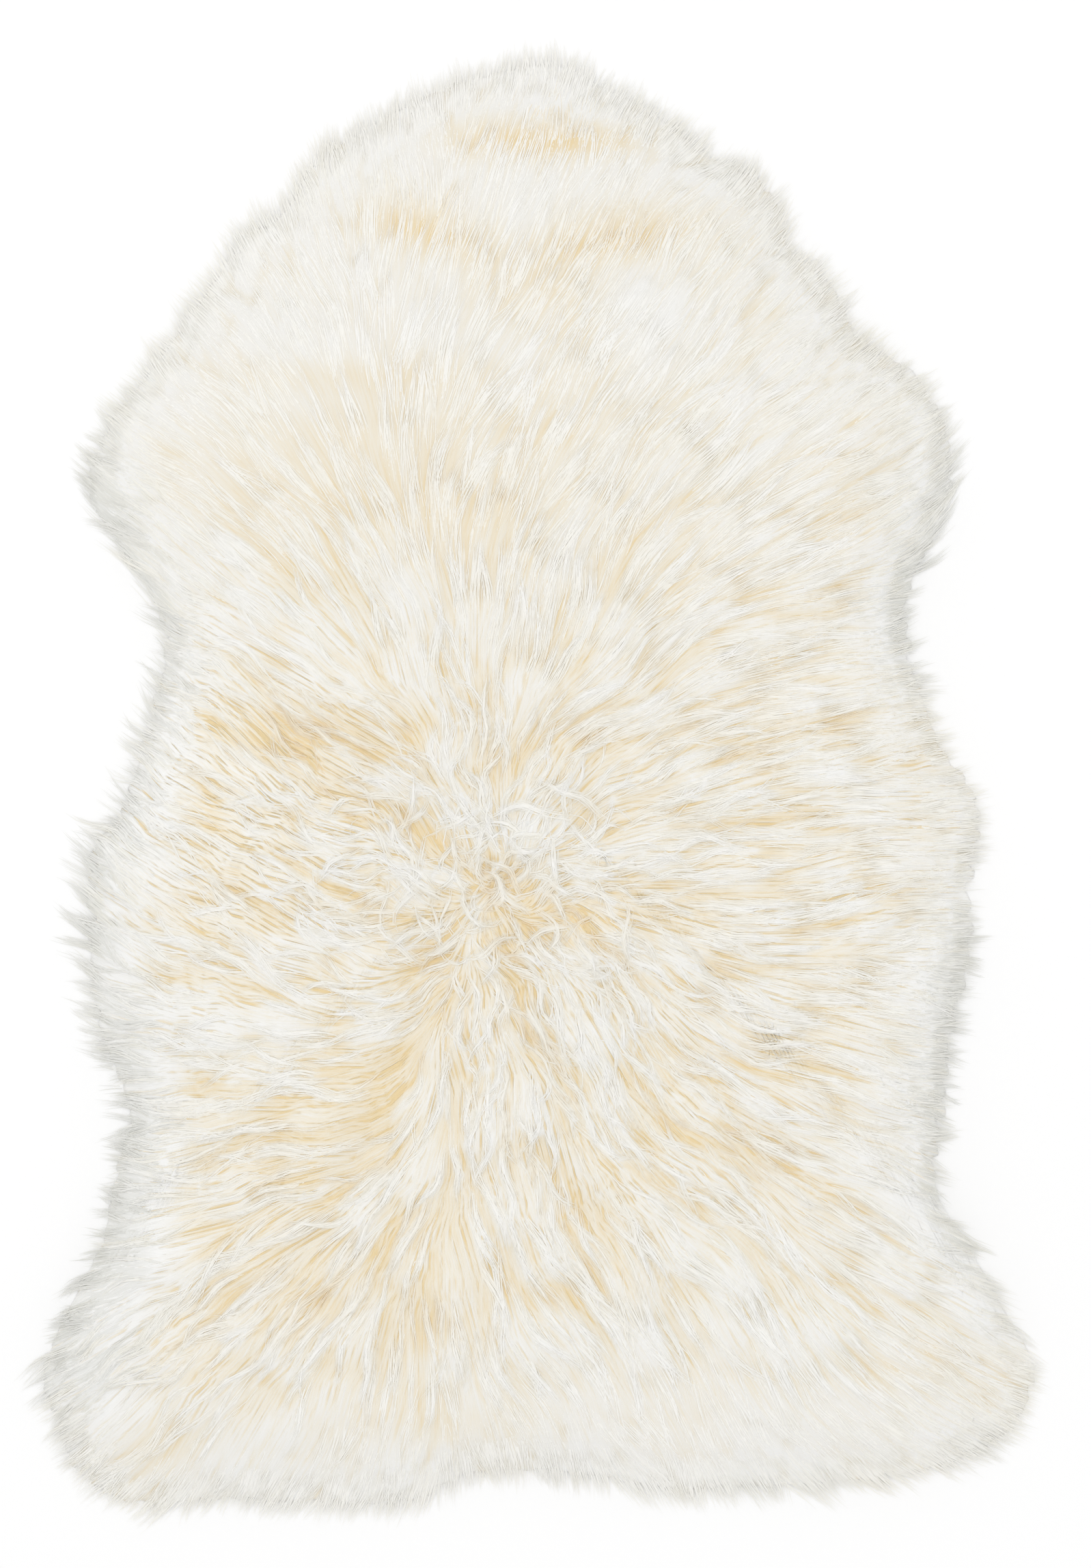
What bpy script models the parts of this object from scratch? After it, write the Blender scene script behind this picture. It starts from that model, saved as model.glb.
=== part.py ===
"""A sheepskin rug: a tanned hide lying flat under long wool that is combed out from its middle.

The neck end points along +Y, the wool stands up along +Z, and the hide's underside lies on Z = 0.
The fleece is one lumpy body with a fringe of drooping locks all round its rim.
"""

import math

import bmesh
import bpy
import numpy as np
from mathutils import Matrix, Vector
from mathutils.geometry import delaunay_2d_cdt

MM = 0.001  # every size below is in millimetres
SHARP_ANGLE = 50.0  # faces that meet at more than this keep a sharp edge
OUTLINE_STEPS = 8  # points of the wool's reach from each named place to the next

# A line inside the wool's reach is looked for along rays from the middle
LINE_RAYS = 720
LINE_STATIONS = 120  # along each ray
LINE_SEARCH = (0.9, 3.0)  # how far in, as shares of the inset
LINE_SOFTENING = 24

# The hide
HIDE_THICKNESS = 2.0
HIDE_INSET = 30.0  # from the wool's reach in to the cut edge of the hide
HIDE_EDGE_POINTS = 110

# The fleece
FLEECE_GAP = 0.3  # between the hide and the foot of the wool
ROOT_INSET = 24.0  # from the wool's reach in to the roots of the rim locks
RIM_HEIGHT = 17.0  # top of the wool at the roots of the rim locks
CROWN_HEIGHT = 38.0  # top of the wool well inside the rim, without its tufts
SHOULDER_WIDTH = 95.0  # over which the rim rises to the crown
SHOULDER_ROUNDNESS = 2.2
LUMP_FADE = 18.0  # over which the tufts and hollows fade out towards the rim
RIM_RIPPLE = 3.0  # how far the rim goes up and down
RIM_RIPPLE_STEP = 2.3  # of the ripple's phase, from root to root
LOWEST_WOOL = 13.0  # no hollow goes below this
MESH_PITCH = 12.6  # between neighbouring points of the top
MESH_CLEARANCE = 0.55  # of the pitch, between the rim and the points inside it

# The locks round the rim
LOCK_PITCH = 15.5  # along the rim, from root to root, on average
LOCK_UNEVENNESS = 2.8  # how far a root strays along the rim
LOCK_STRAY_STEP = 2.4  # of the straying's phase, from root to root
LOCK_SPLAY = 0.45  # share of the comb direction in a lock's lie, the rest points square to the rim
LOCK_LIE_SOFTENING = 12
LOCK_SHORTEST = 0.80  # the shortest lock, as a share of the way to the wool's reach
LOCK_LONGEST = 1.05  # the longest one reaches a little past it
LOCK_LENGTH_STEP = 1.9  # of the lengths' phase, from root to root
LOCK_BEND = 2.6  # most sideways bend of a lock
LOCK_BEND_STEP = 0.5  # of the bends' phase, from root to root
LOCK_TIP_HEIGHT = 0.9
LOCK_SECTIONS = (
    # along the lock, share of the root's width, share of the root's height
    (0.42, 0.88, 0.74),
    (0.80, 0.62, 0.36),
)
LOCK_TOP_WIDTH = 0.62  # of the width at its foot, so a lock is a ridge

# The comb direction: away from the whorl, and more sideways than straight out
WHORL = (-40.0, -60.0)
COMB_SIDEWAYS = 1.8

# The tufts on top, like shingles laid outwards
TUFT_LENGTH = 88.0
TUFT_WIDTH = 46.0
TUFT_HEIGHT = 15.0
TUFT_PITCH_ACROSS = 43.0
TUFT_PITCH_ALONG = 52.0
TUFT_CREST = 0.76  # where a tuft is highest, from its root to its tip
TUFT_RISE = 1.3  # the power of the rise to the crest, and of the drop behind it
TUFT_DROP = 0.7
TUFT_ROWS = range(-10, 11)
TUFT_COLUMNS = range(-9, 10)
# share of the pitch that a tuft strays, and its phase's step from row to row, column to column
TUFT_STRAY_ACROSS = (0.28, 2.1, 1.7)
TUFT_STRAY_ALONG = (0.25, 0.9, 3.3)

# The wool's reach, clockwise from the neck: place, across, along
REACH = (
    ("neck crown", 11, 500),
    ("neck crown right", 48, 484),
    ("neck right", 86, 462),
    ("neck side right", 123, 436),
    ("neck tuft right", 154, 421),
    ("nape tuft right", 173, 394),
    ("nape dip right", 176, 374),
    ("nape right", 197, 357),
    ("nape side right", 213, 335),
    ("shoulder dip right", 225, 309),
    ("shoulder tuft right", 255, 293),
    ("shoulder top right", 279, 265),
    ("shoulder right", 290, 214),
    ("shoulder low right", 278, 172),
    ("waist right", 259, 124),
    ("waist low right", 268, 75),
    ("flank top right", 282, 33),
    ("flank tuft right", 309, -14),
    ("flank right", 304, -65),
    ("flank low right", 304, -116),
    ("hip right", 290, -177),
    ("hip low right", 285, -228),
    ("hip dip right", 279, -276),
    ("flare right", 302, -316),
    ("flare low right", 328, -363),
    ("hind corner right", 347, -399),
    ("hind low right", 330, -442),
    ("rump corner right", 290, -467),
    ("rump right", 235, -480),
    ("rump low right", 160, -485),
    ("rump middle right", 86, -487),
    ("rump middle", 30, -477),
    ("rump dip", -45, -476),
    ("rump middle left", -82, -495),
    ("rump left", -156, -497),
    ("rump dip left", -221, -494),
    ("rump corner left", -277, -498),
    ("hind tuft left", -324, -469),
    ("hind dip left", -329, -446),
    ("hind corner left", -346, -409),
    ("flare low left", -323, -351),
    ("flare left", -305, -316),
    ("hip left", -297, -270),
    ("hip dip left", -287, -223),
    ("flank low left", -311, -163),
    ("flank left", -316, -107),
    ("flank tuft left", -313, -36),
    ("flank dip left", -296, -23),
    ("flank top left", -278, 33),
    ("waist left", -262, 100),
    ("waist top left", -280, 149),
    ("shoulder low left", -312, 196),
    ("shoulder left", -303, 242),
    ("shoulder top left", -268, 289),
    ("nape side left", -235, 335),
    ("nape left", -201, 382),
    ("nape dip left", -174, 399),
    ("neck side left", -158, 428),
    ("neck left", -119, 456),
    ("neck tuft left", -56, 486),
)

# Hollows, and swells where the depth is negative:
# place, across, along, half length, half width, turn in degrees, depth
FORMS = (
    ("neck parting", 4, 432, 80, 13, 0, 11),
    ("nape parting left", -108, 380, 52, 11, 12, 9),
    ("nape parting right", 50, 372, 60, 10, 8, 9),
    ("neck swell", 0, 400, 110, 22, 0, -5),
    ("shoulder swell left", -225, 245, 70, 45, 60, -5),
    ("shoulder swell right", 190, 210, 90, 40, 105, -4),
    ("flank parting left", -152, 34, 58, 12, 165, 9),
    ("flank parting right", 182, 36, 60, 10, 8, 7),
    ("whorl", -40, -60, 46, 30, 20, 7),
    ("whorl parting", -68, -42, 40, 9, 150, 7),
    ("whorl ridge", 20, -2, 75, 20, 30, -6),
    ("loin parting left", -80, -152, 74, 15, 82, 7),
    ("loin ridge", -30, -170, 90, 24, 95, -6),
    ("rump parting left", -108, -232, 60, 11, 62, 8),
    ("rump swell left", -190, -330, 90, 50, 60, -6),
    ("rump hollow right", 120, -220, 95, 20, 130, 6),
    ("rump swell right", 190, -330, 95, 60, 130, -5),
    ("hem hollow", -20, -395, 150, 26, 3, 5),
)

WOOL_COLOUR = (0.90, 0.86, 0.76, 1.0)
WOOL_ROUGHNESS = 0.95
LEATHER_COLOUR = (0.74, 0.64, 0.49, 1.0)
LEATHER_ROUGHNESS = 0.8


def clear_scene():
    for old in list(bpy.data.objects):
        bpy.data.objects.remove(old)


def finish(name, colour, roughness):
    material = bpy.data.materials.new(name)
    material.use_nodes = True
    shader = material.node_tree.nodes["Principled BSDF"]
    shader.inputs["Base Color"].default_value = colour
    shader.inputs["Roughness"].default_value = roughness
    shader.inputs["Metallic"].default_value = 0.0
    return material


def smooth_closed_curve(corners):
    """A Catmull-Rom curve round the corners."""
    before = np.roll(corners, 1, axis=0)[:, None]
    after = np.roll(corners, -1, axis=0)[:, None]
    beyond = np.roll(corners, -2, axis=0)[:, None]
    here = corners[:, None]
    t = (np.arange(OUTLINE_STEPS) / OUTLINE_STEPS)[None, :, None]
    curve = 0.5 * (
        2 * here
        + (after - before) * t
        + (2 * before - 5 * here + 4 * after - beyond) * t**2
        + (3 * here - before - 3 * after + beyond) * t**3
    )
    return curve.reshape(-1, 2)


def spaced_round(loop, count, unevenness=0.0):
    """This many points along a closed loop, at equal steps but for their unevenness."""
    closed = np.vstack([loop, loop[:1]])
    run = np.concatenate([[0.0], np.cumsum(np.linalg.norm(np.diff(closed, axis=0), axis=1))])
    steps = np.arange(count)
    stations = steps / count * run[-1] + unevenness * np.sin(LOCK_STRAY_STEP * steps)
    stations %= run[-1]
    return np.stack([np.interp(stations, run, closed[:, k]) for k in (0, 1)], axis=1)


def softened_round(row, times):
    """Each entry of a closed row drawn towards its neighbours, this many times over."""
    for _ in range(times):
        row = (np.roll(row, 1, axis=0) + 2 * row + np.roll(row, -1, axis=0)) / 4
    return row


def length_round(loop):
    return np.linalg.norm(np.roll(loop, -1, axis=0) - loop, axis=1).sum()


def distance_to_loop(points, loop):
    """The distance from each point to the nearest side of a closed loop."""
    side = np.roll(loop, -1, axis=0) - loop
    away = points[:, None] - loop[None]
    share = np.clip((away * side).sum(2) / (side * side).sum(1), 0.0, 1.0)
    return np.linalg.norm(away - share[..., None] * side, axis=2).min(1)


def way_to_loop(points, directions, loop):
    """How far each point has to go in its direction to meet the loop."""
    side = np.roll(loop, -1, axis=0) - loop
    away = loop[None] - points[:, None]
    turn = directions[:, None, 0] * side[:, 1] - directions[:, None, 1] * side[:, 0]
    turn = np.where(abs(turn) < 1e-9, 1e-9, turn)
    way = (away[..., 0] * side[:, 1] - away[..., 1] * side[:, 0]) / turn
    share = (away[..., 0] * directions[:, None, 1] - away[..., 1] * directions[:, None, 0]) / turn
    meets = (share >= 0) & (share <= 1) & (way > 0)
    return np.where(meets, way, np.inf).min(1)


def inset_loop(loop, inset):
    """The soft line that lies this far inside the loop, found along rays from the middle."""
    angles = np.arange(LINE_RAYS) / LINE_RAYS * math.tau
    rays = np.stack([np.cos(angles), np.sin(angles)], axis=1)
    edge = way_to_loop(np.zeros_like(rays), rays, loop)
    line = np.empty_like(rays)
    for k, ray in enumerate(rays):
        way_in = edge[k] - inset * np.linspace(*LINE_SEARCH, LINE_STATIONS)
        clear = distance_to_loop(way_in[:, None] * ray, loop) >= inset
        line[k] = way_in[clear.argmax()] * ray
    return softened_round(line, LINE_SOFTENING)


def comb_direction(points):
    """Which way the wool is combed at each point, as unit vectors."""
    out = (points - WHORL) * (COMB_SIDEWAYS, 1.0)
    return out / np.maximum(np.linalg.norm(out, axis=1, keepdims=True), 1e-6)


def outward_normal(loop):
    """Square to a loop that runs anticlockwise, pointing out of it."""
    along = np.roll(loop, -1, axis=0) - np.roll(loop, 1, axis=0)
    normal = np.stack([along[:, 1], -along[:, 0]], axis=1)
    return normal / np.linalg.norm(normal, axis=1, keepdims=True)


def tuft_places():
    """Staggered rows of tuft middles over the whole rug, each row a little uneven."""
    places = []
    for row in TUFT_ROWS:
        for column in TUFT_COLUMNS:
            aside, ahead = (
                share * math.sin(row_step * row + column_step * column)
                for share, row_step, column_step in (TUFT_STRAY_ACROSS, TUFT_STRAY_ALONG)
            )
            across = column + 0.5 * (row % 2) + aside
            places.append((across * TUFT_PITCH_ACROSS, (row + ahead) * TUFT_PITCH_ALONG))
    return np.array(places)


def tuft_height(points):
    """Each tuft rises along the comb direction, drops at its tip, and is round across."""
    middles = tuft_places()
    lie = comb_direction(middles)
    away = points[:, None] - middles[None]
    along = (away * lie).sum(2) / TUFT_LENGTH + 0.5
    across = (away[..., 1] * lie[:, 0] - away[..., 0] * lie[:, 1]) / (0.5 * TUFT_WIDTH)
    rise = np.clip(along / TUFT_CREST, 0, 1) ** TUFT_RISE
    drop = np.clip((1 - along) / (1 - TUFT_CREST), 0, 1) ** TUFT_DROP
    return TUFT_HEIGHT * (rise * drop * np.clip(1 - across**2, 0, 1)).max(1)


def form_depth(points):
    """The sum of the hollows and swells, each a soft-edged oval."""
    depth = np.zeros(len(points))
    for _, across, along, half_length, half_width, turn, deep in FORMS:
        lie = np.array([math.cos(math.radians(turn)), math.sin(math.radians(turn))])
        away = points - (across, along)
        u = away @ lie / half_length
        v = (away[:, 1] * lie[0] - away[:, 0] * lie[1]) / half_width
        depth += deep * np.exp(-(u**2) - v**2)
    return depth


def wool_top(points, rim):
    """The height of the wool over each point inside the rim line."""
    inside = distance_to_loop(points, rim)
    rise = 1 - (1 - np.clip(inside / SHOULDER_WIDTH, 0, 1)) ** SHOULDER_ROUNDNESS
    lumps = np.clip(inside / LUMP_FADE, 0, 1) * (tuft_height(points) - form_depth(points))
    return np.maximum(RIM_HEIGHT + (CROWN_HEIGHT - RIM_HEIGHT) * rise + lumps, LOWEST_WOOL)


def points_inside(loop, pitch, clearance):
    """A grid of equilateral triangles, kept where it lies clear inside the loop."""
    low, high = loop.min(0), loop.max(0)
    rows = np.arange(low[1], high[1], pitch * math.sqrt(0.75))
    grid = [
        (x + 0.5 * pitch * (k % 2), y)
        for k, y in enumerate(rows)
        for x in np.arange(low[0], high[0], pitch)
    ]
    grid = np.array(grid)
    toward = grid / np.linalg.norm(grid, axis=1, keepdims=True).clip(1e-6)
    edge = way_to_loop(np.zeros_like(grid), toward, loop)
    within = np.linalg.norm(grid, axis=1) < edge
    return grid[within & (distance_to_loop(grid, loop) > clearance)]


def add_piece(name, material, bm):
    mesh = bpy.data.meshes.new(name)
    bm.to_mesh(mesh)
    bm.free()
    mesh.materials.append(material)
    mesh.shade_smooth()
    mesh.set_sharp_from_angle(angle=math.radians(SHARP_ANGLE))
    piece = bpy.data.objects.new(name, mesh)
    bpy.context.scene.collection.objects.link(piece)
    return piece


def make_hide(reach, material):
    """A flat sheet with the rug's outline, drawn in from the wool's reach."""
    edge = spaced_round(inset_loop(reach, HIDE_INSET), HIDE_EDGE_POINTS)
    bm = bmesh.new()
    ring = [bm.verts.new((x * MM, y * MM, 0.0)) for x, y in edge]
    face = bm.faces.new(ring)
    lifted = bmesh.ops.extrude_face_region(bm, geom=[face])["geom"]
    top = [item for item in lifted if isinstance(item, bmesh.types.BMVert)]
    bmesh.ops.translate(bm, verts=top, vec=(0.0, 0.0, HIDE_THICKNESS * MM))
    bmesh.ops.recalc_face_normals(bm, faces=bm.faces)
    return add_piece("hide", material, bm)


def lock_path(root, direction, way, bend, along):
    """Where the middle of a lock is, this share of the way from its root to its tip."""
    sideways = np.array([-direction[1], direction[0]])
    return root + direction * way * along + sideways * bend * math.sin(math.pi * along)


def add_lock(bm, root, direction, way, bend):
    """Carries one wall face outwards as a lock that droops to the floor and ends in a point.

    The four root corners run: foot, next foot, next top, top.
    """
    corners = [np.array(vert.co) / MM for vert in root]
    middle = (corners[0][:2] + corners[1][:2]) / 2
    sideways = corners[1][:2] - corners[0][:2]
    height = (corners[2][2] + corners[3][2]) / 2
    section = list(root)
    for along, width, rise in LOCK_SECTIONS:
        centre = lock_path(middle, direction, way, bend, along)
        foot = sideways * width / 2
        top = foot * LOCK_TOP_WIDTH
        places = (
            (centre - foot, 0.0),
            (centre + foot, 0.0),
            (centre + top, height * rise),
            (centre - top, height * rise),
        )
        following = [bm.verts.new((x * MM, y * MM, z * MM)) for (x, y), z in places]
        for k in range(4):
            bm.faces.new((section[k - 1], section[k], following[k], following[k - 1]))
        section = following
    x, y = lock_path(middle, direction, way, bend, 1.0)
    tip = bm.verts.new((x * MM, y * MM, LOCK_TIP_HEIGHT * MM))
    for k in range(4):
        bm.faces.new((section[k - 1], section[k], tip))


def make_fleece(reach, material):
    """The lumpy body of the wool, closed underneath, with a lock on each face of its wall."""
    root_line = inset_loop(reach, ROOT_INSET)
    count = round(length_round(root_line) / LOCK_PITCH)
    rim = spaced_round(root_line, count, LOCK_UNEVENNESS)
    inner = points_inside(rim, MESH_PITCH, MESH_CLEARANCE * MESH_PITCH)
    flat = [Vector(p) for p in np.vstack([rim, inner])]
    placed, _, faces, _, _, _ = delaunay_2d_cdt(flat, [], [list(range(count))], 1, 1e-5)
    if len(placed) != len(flat):
        raise ValueError("two points of the fleece's top fell together")
    spots = np.array([tuple(p) for p in placed])
    heights = wool_top(spots, rim)
    heights[:count] = RIM_HEIGHT + RIM_RIPPLE * np.sin(RIM_RIPPLE_STEP * np.arange(count))

    bm = bmesh.new()
    foot_height = (HIDE_THICKNESS + FLEECE_GAP) * MM
    top = []
    for (x, y), z in zip(spots, heights):
        top.append(bm.verts.new((x * MM, y * MM, z * MM)))
    for face in faces:
        bm.faces.new([top[k] for k in face])
    foot = [bm.verts.new((v.co.x, v.co.y, foot_height)) for v in top[:count]]
    bm.faces.new(reversed(foot))

    ahead = (np.roll(rim, -1, axis=0) + rim) / 2
    lie = LOCK_SPLAY * comb_direction(ahead) + (1 - LOCK_SPLAY) * outward_normal(ahead)
    lie = softened_round(lie, LOCK_LIE_SOFTENING)
    lie /= np.linalg.norm(lie, axis=1, keepdims=True)
    ways = way_to_loop(ahead, lie, reach)
    for k in range(count):
        longer = abs(math.sin(LOCK_LENGTH_STEP * k))
        share = LOCK_SHORTEST + (LOCK_LONGEST - LOCK_SHORTEST) * longer
        root = (foot[k], foot[(k + 1) % count], top[(k + 1) % count], top[k])
        bend = LOCK_BEND * math.sin(LOCK_BEND_STEP * k)
        add_lock(bm, root, lie[k], ways[k] * share, bend)
    return add_piece("fleece", material, bm)


def centre_over_origin(pieces):
    """Moves the finished meshes sideways, until the middle of their common box is on the Z axis."""
    places = np.array([vert.co for piece in pieces for vert in piece.data.vertices])
    middle = (places.min(0) + places.max(0)) / 2
    for piece in pieces:
        piece.data.transform(Matrix.Translation((-middle[0], -middle[1], 0.0)))


def make_rug():
    clear_scene()
    corners = np.array([(across, along) for _, across, along in REACH], dtype=float)
    reach = smooth_closed_curve(corners)
    hide = make_hide(reach, finish("tanned leather", LEATHER_COLOUR, LEATHER_ROUGHNESS))
    fleece = make_fleece(reach, finish("sheep wool", WOOL_COLOUR, WOOL_ROUGHNESS))
    centre_over_origin((hide, fleece))


make_rug()
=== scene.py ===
import math

import bpy
import numpy as np
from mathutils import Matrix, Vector
from mathutils.bvhtree import BVHTree


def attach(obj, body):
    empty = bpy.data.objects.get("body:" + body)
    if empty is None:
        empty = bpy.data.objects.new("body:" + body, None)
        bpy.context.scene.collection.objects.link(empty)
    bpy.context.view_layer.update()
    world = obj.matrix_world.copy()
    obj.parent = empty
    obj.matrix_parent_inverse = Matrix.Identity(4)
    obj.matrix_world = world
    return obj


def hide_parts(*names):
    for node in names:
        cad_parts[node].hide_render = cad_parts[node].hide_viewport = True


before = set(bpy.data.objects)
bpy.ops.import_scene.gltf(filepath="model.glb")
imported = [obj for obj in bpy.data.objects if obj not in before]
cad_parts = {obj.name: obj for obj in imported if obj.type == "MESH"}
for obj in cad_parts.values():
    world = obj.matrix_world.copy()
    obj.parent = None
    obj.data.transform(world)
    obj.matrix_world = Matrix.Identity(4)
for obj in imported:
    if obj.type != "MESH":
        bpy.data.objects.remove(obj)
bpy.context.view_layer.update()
print("frame loaded")

mm = 0.001  # the settings below are in millimetres, and the meshes in metres
dice = np.random.default_rng(11)  # for the locks, their relief and the strands

# where the tips of the wool reach, clockwise round the rug from the neck
outline = {
    "corners": (
        (11, 500), (48, 484), (86, 462), (123, 436), (154, 421), (173, 394), (176, 374), (197, 357),
        (213, 335), (225, 309), (255, 293), (279, 265), (290, 214), (278, 172), (259, 124),
        (268, 75), (282, 33), (309, -14), (304, -65), (304, -116), (290, -177), (285, -228),
        (279, -276),
        (302, -316), (328, -363), (347, -399), (330, -442), (290, -467), (235, -480), (160, -485),
        (86, -487), (30, -477), (-45, -476), (-82, -495), (-156, -497), (-221, -494), (-277, -498),
        (-324, -469), (-329, -446), (-346, -409), (-323, -351), (-305, -316), (-297, -270),
        (-287, -223), (-311, -163), (-316, -107), (-313, -36), (-296, -23), (-278, 33), (-262, 100),
        (-280, 149), (-312, 196), (-303, 242), (-268, 289), (-235, 335), (-201, 382), (-174, 399),
        (-158, 428), (-119, 456), (-56, 486),
    ),
    "shift": (-0.7, -1.0),  # brings the corners into the frame of the CAD
    "steps": 8,  # points from each corner to the next
}

# which way the wool is combed: away from the whorl, and more sideways than straight out
comb = {
    "whorl": (-40.0, -60.0),
    "sideways": 1.8,
    "swing": 0.14,
    "swingPlain": 0.06,
    "wave": 48.0,
    "wander": 0.8,
    "wanderSize": 130.0,
    "whorlTurn": 1.2,  # of the tufts on the whorl
    "whorlTuft": 58.0,
    "whorlReach": (85.0, 70.0),
    "tuft": (-36, -34, 46, 34),  # the white tuft on it, and the way it points in degrees
    "tuftHeading": 105.0,
    "warp": 24.0,  # keeps the whorl from being a star
    "warpSize": 85.0,
    # places where it turns off that way: across, along, half width, half length, turn in degrees
    "turns": (
        (-160, -150, 90, 110, -30),
        (182, 102, 75, 60, -13),
        (95, 410, 70, 60, -12),
        (146, -395, 80, 70, -17),
        (-45, 290, 75, 130, -27),
        (35, 132, 60, 45, 18),
        (-300, 60, 40, 150, -18),
        (-300, -110, 70, 90, -22),
        (-295, -285, 60, 60, -33),
        (-155, -262, 45, 38, -26),
        (60, -160, 60, 65, -30),
        (-20, -370, 65, 60, 20),
        (-10, -415, 45, 30, 12),
        (200, -90, 50, 45, 13),
        (75, 10, 40, 30, 14),
        (285, 165, 28, 60, 33),
        (-220, -450, 70, 28, 14),
        (160, -326, 35, 40, -12),
        (-240, -20, 110, 120, -15),
        (-130, -185, 34, 75, -14),
        (-52, -185, 30, 75, 22),
    ),
}

# fields over the floor are kept on one grid
ground = {
    "step": 2.0,
    "halfWidth": 380.0,
    "halfLength": 530.0,
    "above": 200.0,  # over all of the wool
    "reach": 620.0,  # from the middle past all of it
    "reachSteps": 241,
}


def smoothLoop(corners, steps):
    # a smooth curve through the corners: a cubic in the share of the way from each to the next,
    # whose direction at a corner is that from the corner before to the corner after
    before, after = np.roll(corners, 1, axis=0), np.roll(corners, -1, axis=0)
    beyond = np.roll(corners, -2, axis=0)
    t = (np.arange(steps) / steps)[None, :, None]
    a, b, c, d = (row[:, None] for row in (before, corners, after, beyond))
    curve = 0.5 * (2 * b + (c - a) * t + (2 * a - 5 * b + 4 * c - d) * t**2)
    curve += 0.5 * (3 * b - a - 3 * c + d) * t**3
    return curve.reshape(-1, 2)


rimLoop = smoothLoop(np.array(outline["corners"], float), outline["steps"]) + outline["shift"]


def distanceInside(x, y):
    # the distance to the nearest side of the outline, negative outside it
    ahead = np.roll(rimLoop, -1, axis=0)
    side = ahead - rimLoop
    awayX, awayY = x[:, None] - rimLoop[:, 0], y[:, None] - rimLoop[:, 1]
    share = np.clip((awayX * side[:, 0] + awayY * side[:, 1]) / (side**2).sum(1), 0, 1)
    near = np.hypot(awayX - share * side[:, 0], awayY - share * side[:, 1]).min(1)
    spans = (rimLoop[:, 1] > y[:, None]) != (ahead[:, 1] > y[:, None])
    slope = side[:, 0] / np.where(abs(side[:, 1]) < 1e-9, 1e-9, side[:, 1])
    crossings = (spans & (awayX < slope * awayY)).sum(1)
    return np.where(crossings % 2 == 1, near, -near)


gridX = np.arange(-ground["halfWidth"], ground["halfWidth"] + 1, ground["step"])
gridY = np.arange(-ground["halfLength"], ground["halfLength"] + 1, ground["step"])


def readField(field, x, y):
    # the value of a grid field at any point, blended between its four grid points
    u = np.clip((x - gridX[0]) / ground["step"], 0, len(gridX) - 1.001)
    v = np.clip((y - gridY[0]) / ground["step"], 0, len(gridY) - 1.001)
    i, j = u.astype(int), v.astype(int)
    u, v = u - i, v - j
    low = field[j, i] * (1 - u) + field[j, i + 1] * u
    high = field[j + 1, i] * (1 - u) + field[j + 1, i + 1] * u
    return low * (1 - v) + high * v


def gridPlace(x, y):
    # the row and the column of the nearest grid point
    column = np.round((x - gridX[0]) / ground["step"]).astype(int)
    row = np.round((y - gridY[0]) / ground["step"]).astype(int)
    return row, column


def softened(field, reach):
    # a blur of about this reach: each grid point is drawn again and again to its neighbours
    for _ in range(round((2 * reach / ground["step"]) ** 2)):
        padded = np.pad(field, 1, mode="edge")
        field = (
            4 * field + padded[2:, 1:-1] + padded[:-2, 1:-1] + padded[1:-1, 2:] + padded[1:-1, :-2]
        ) / 8
    return field


def woolHeights():
    # the top of the CAD fleece over each grid point, found by a ray from above, and 0 beside it
    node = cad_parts["fleece"]
    mesh = node.data
    points = np.empty(len(mesh.vertices) * 3)
    mesh.vertices.foreach_get("co", points)
    tree = BVHTree.FromPolygons(
        (points.reshape(-1, 3) / mm).tolist(), [tuple(face.vertices) for face in mesh.polygons]
    )
    down = Vector((0, 0, -1))
    # every second grid point is enough, because the wool is softened afterwards
    starts = [Vector((x, y, ground["above"])) for y in gridY[::2] for x in gridX[::2]]
    hits = [tree.ray_cast(start, down)[0] for start in starts]
    coarse = np.array([hit.z if hit else 0.0 for hit in hits]).reshape(len(gridY[::2]), -1)
    return np.repeat(np.repeat(coarse, 2, axis=0), 2, axis=1)[:len(gridY), :len(gridX)]


rawTop = woolHeights()
insideField = np.array([distanceInside(gridX, np.full(len(gridX), y)) for y in gridY])
print("height and outline fields ready")


def insideAt(x, y):
    return readField(insideField, x, y)


def ripples(x, y, size, seed):
    # soft noise from about -1 to 1: the sum of six sine waves of this size, in six directions
    waves = np.random.default_rng(seed)
    total = 0
    for turn in np.arange(6) * math.pi / 6 + waves.uniform(0, 0.5, 6):
        length = size * waves.uniform(0.7, 1.5)
        across = (x * math.cos(turn) + y * math.sin(turn)) / length
        total = total + np.sin(2 * math.pi * across + waves.uniform(0, 2 * math.pi))
    return total / 3.2


def blot(x, y, across, along, halfWidth, halfLength, turn=0.0):
    # a soft oval spot: a bell curve, 1 in its middle
    lie = math.radians(turn)
    u = ((x - across) * math.cos(lie) + (y - along) * math.sin(lie)) / halfWidth
    v = ((y - along) * math.cos(lie) - (x - across) * math.sin(lie)) / halfLength
    return np.exp(-(u**2) - v**2)


def blend(low, high, share):
    # from one value to the other by a share of the way
    return low + (high - low) * share


def either(*shares):
    # the share that one or more of these take: 1 less the product of what each leaves
    left = 1
    for share in shares:
        left = left * (1 - share)
    return 1 - left


def mixed(values, *shares):
    # the first value, and each of the others times its share
    total = values[0]
    for value, share in zip(values[1:], shares):
        total = total + value * share
    return total


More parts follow.
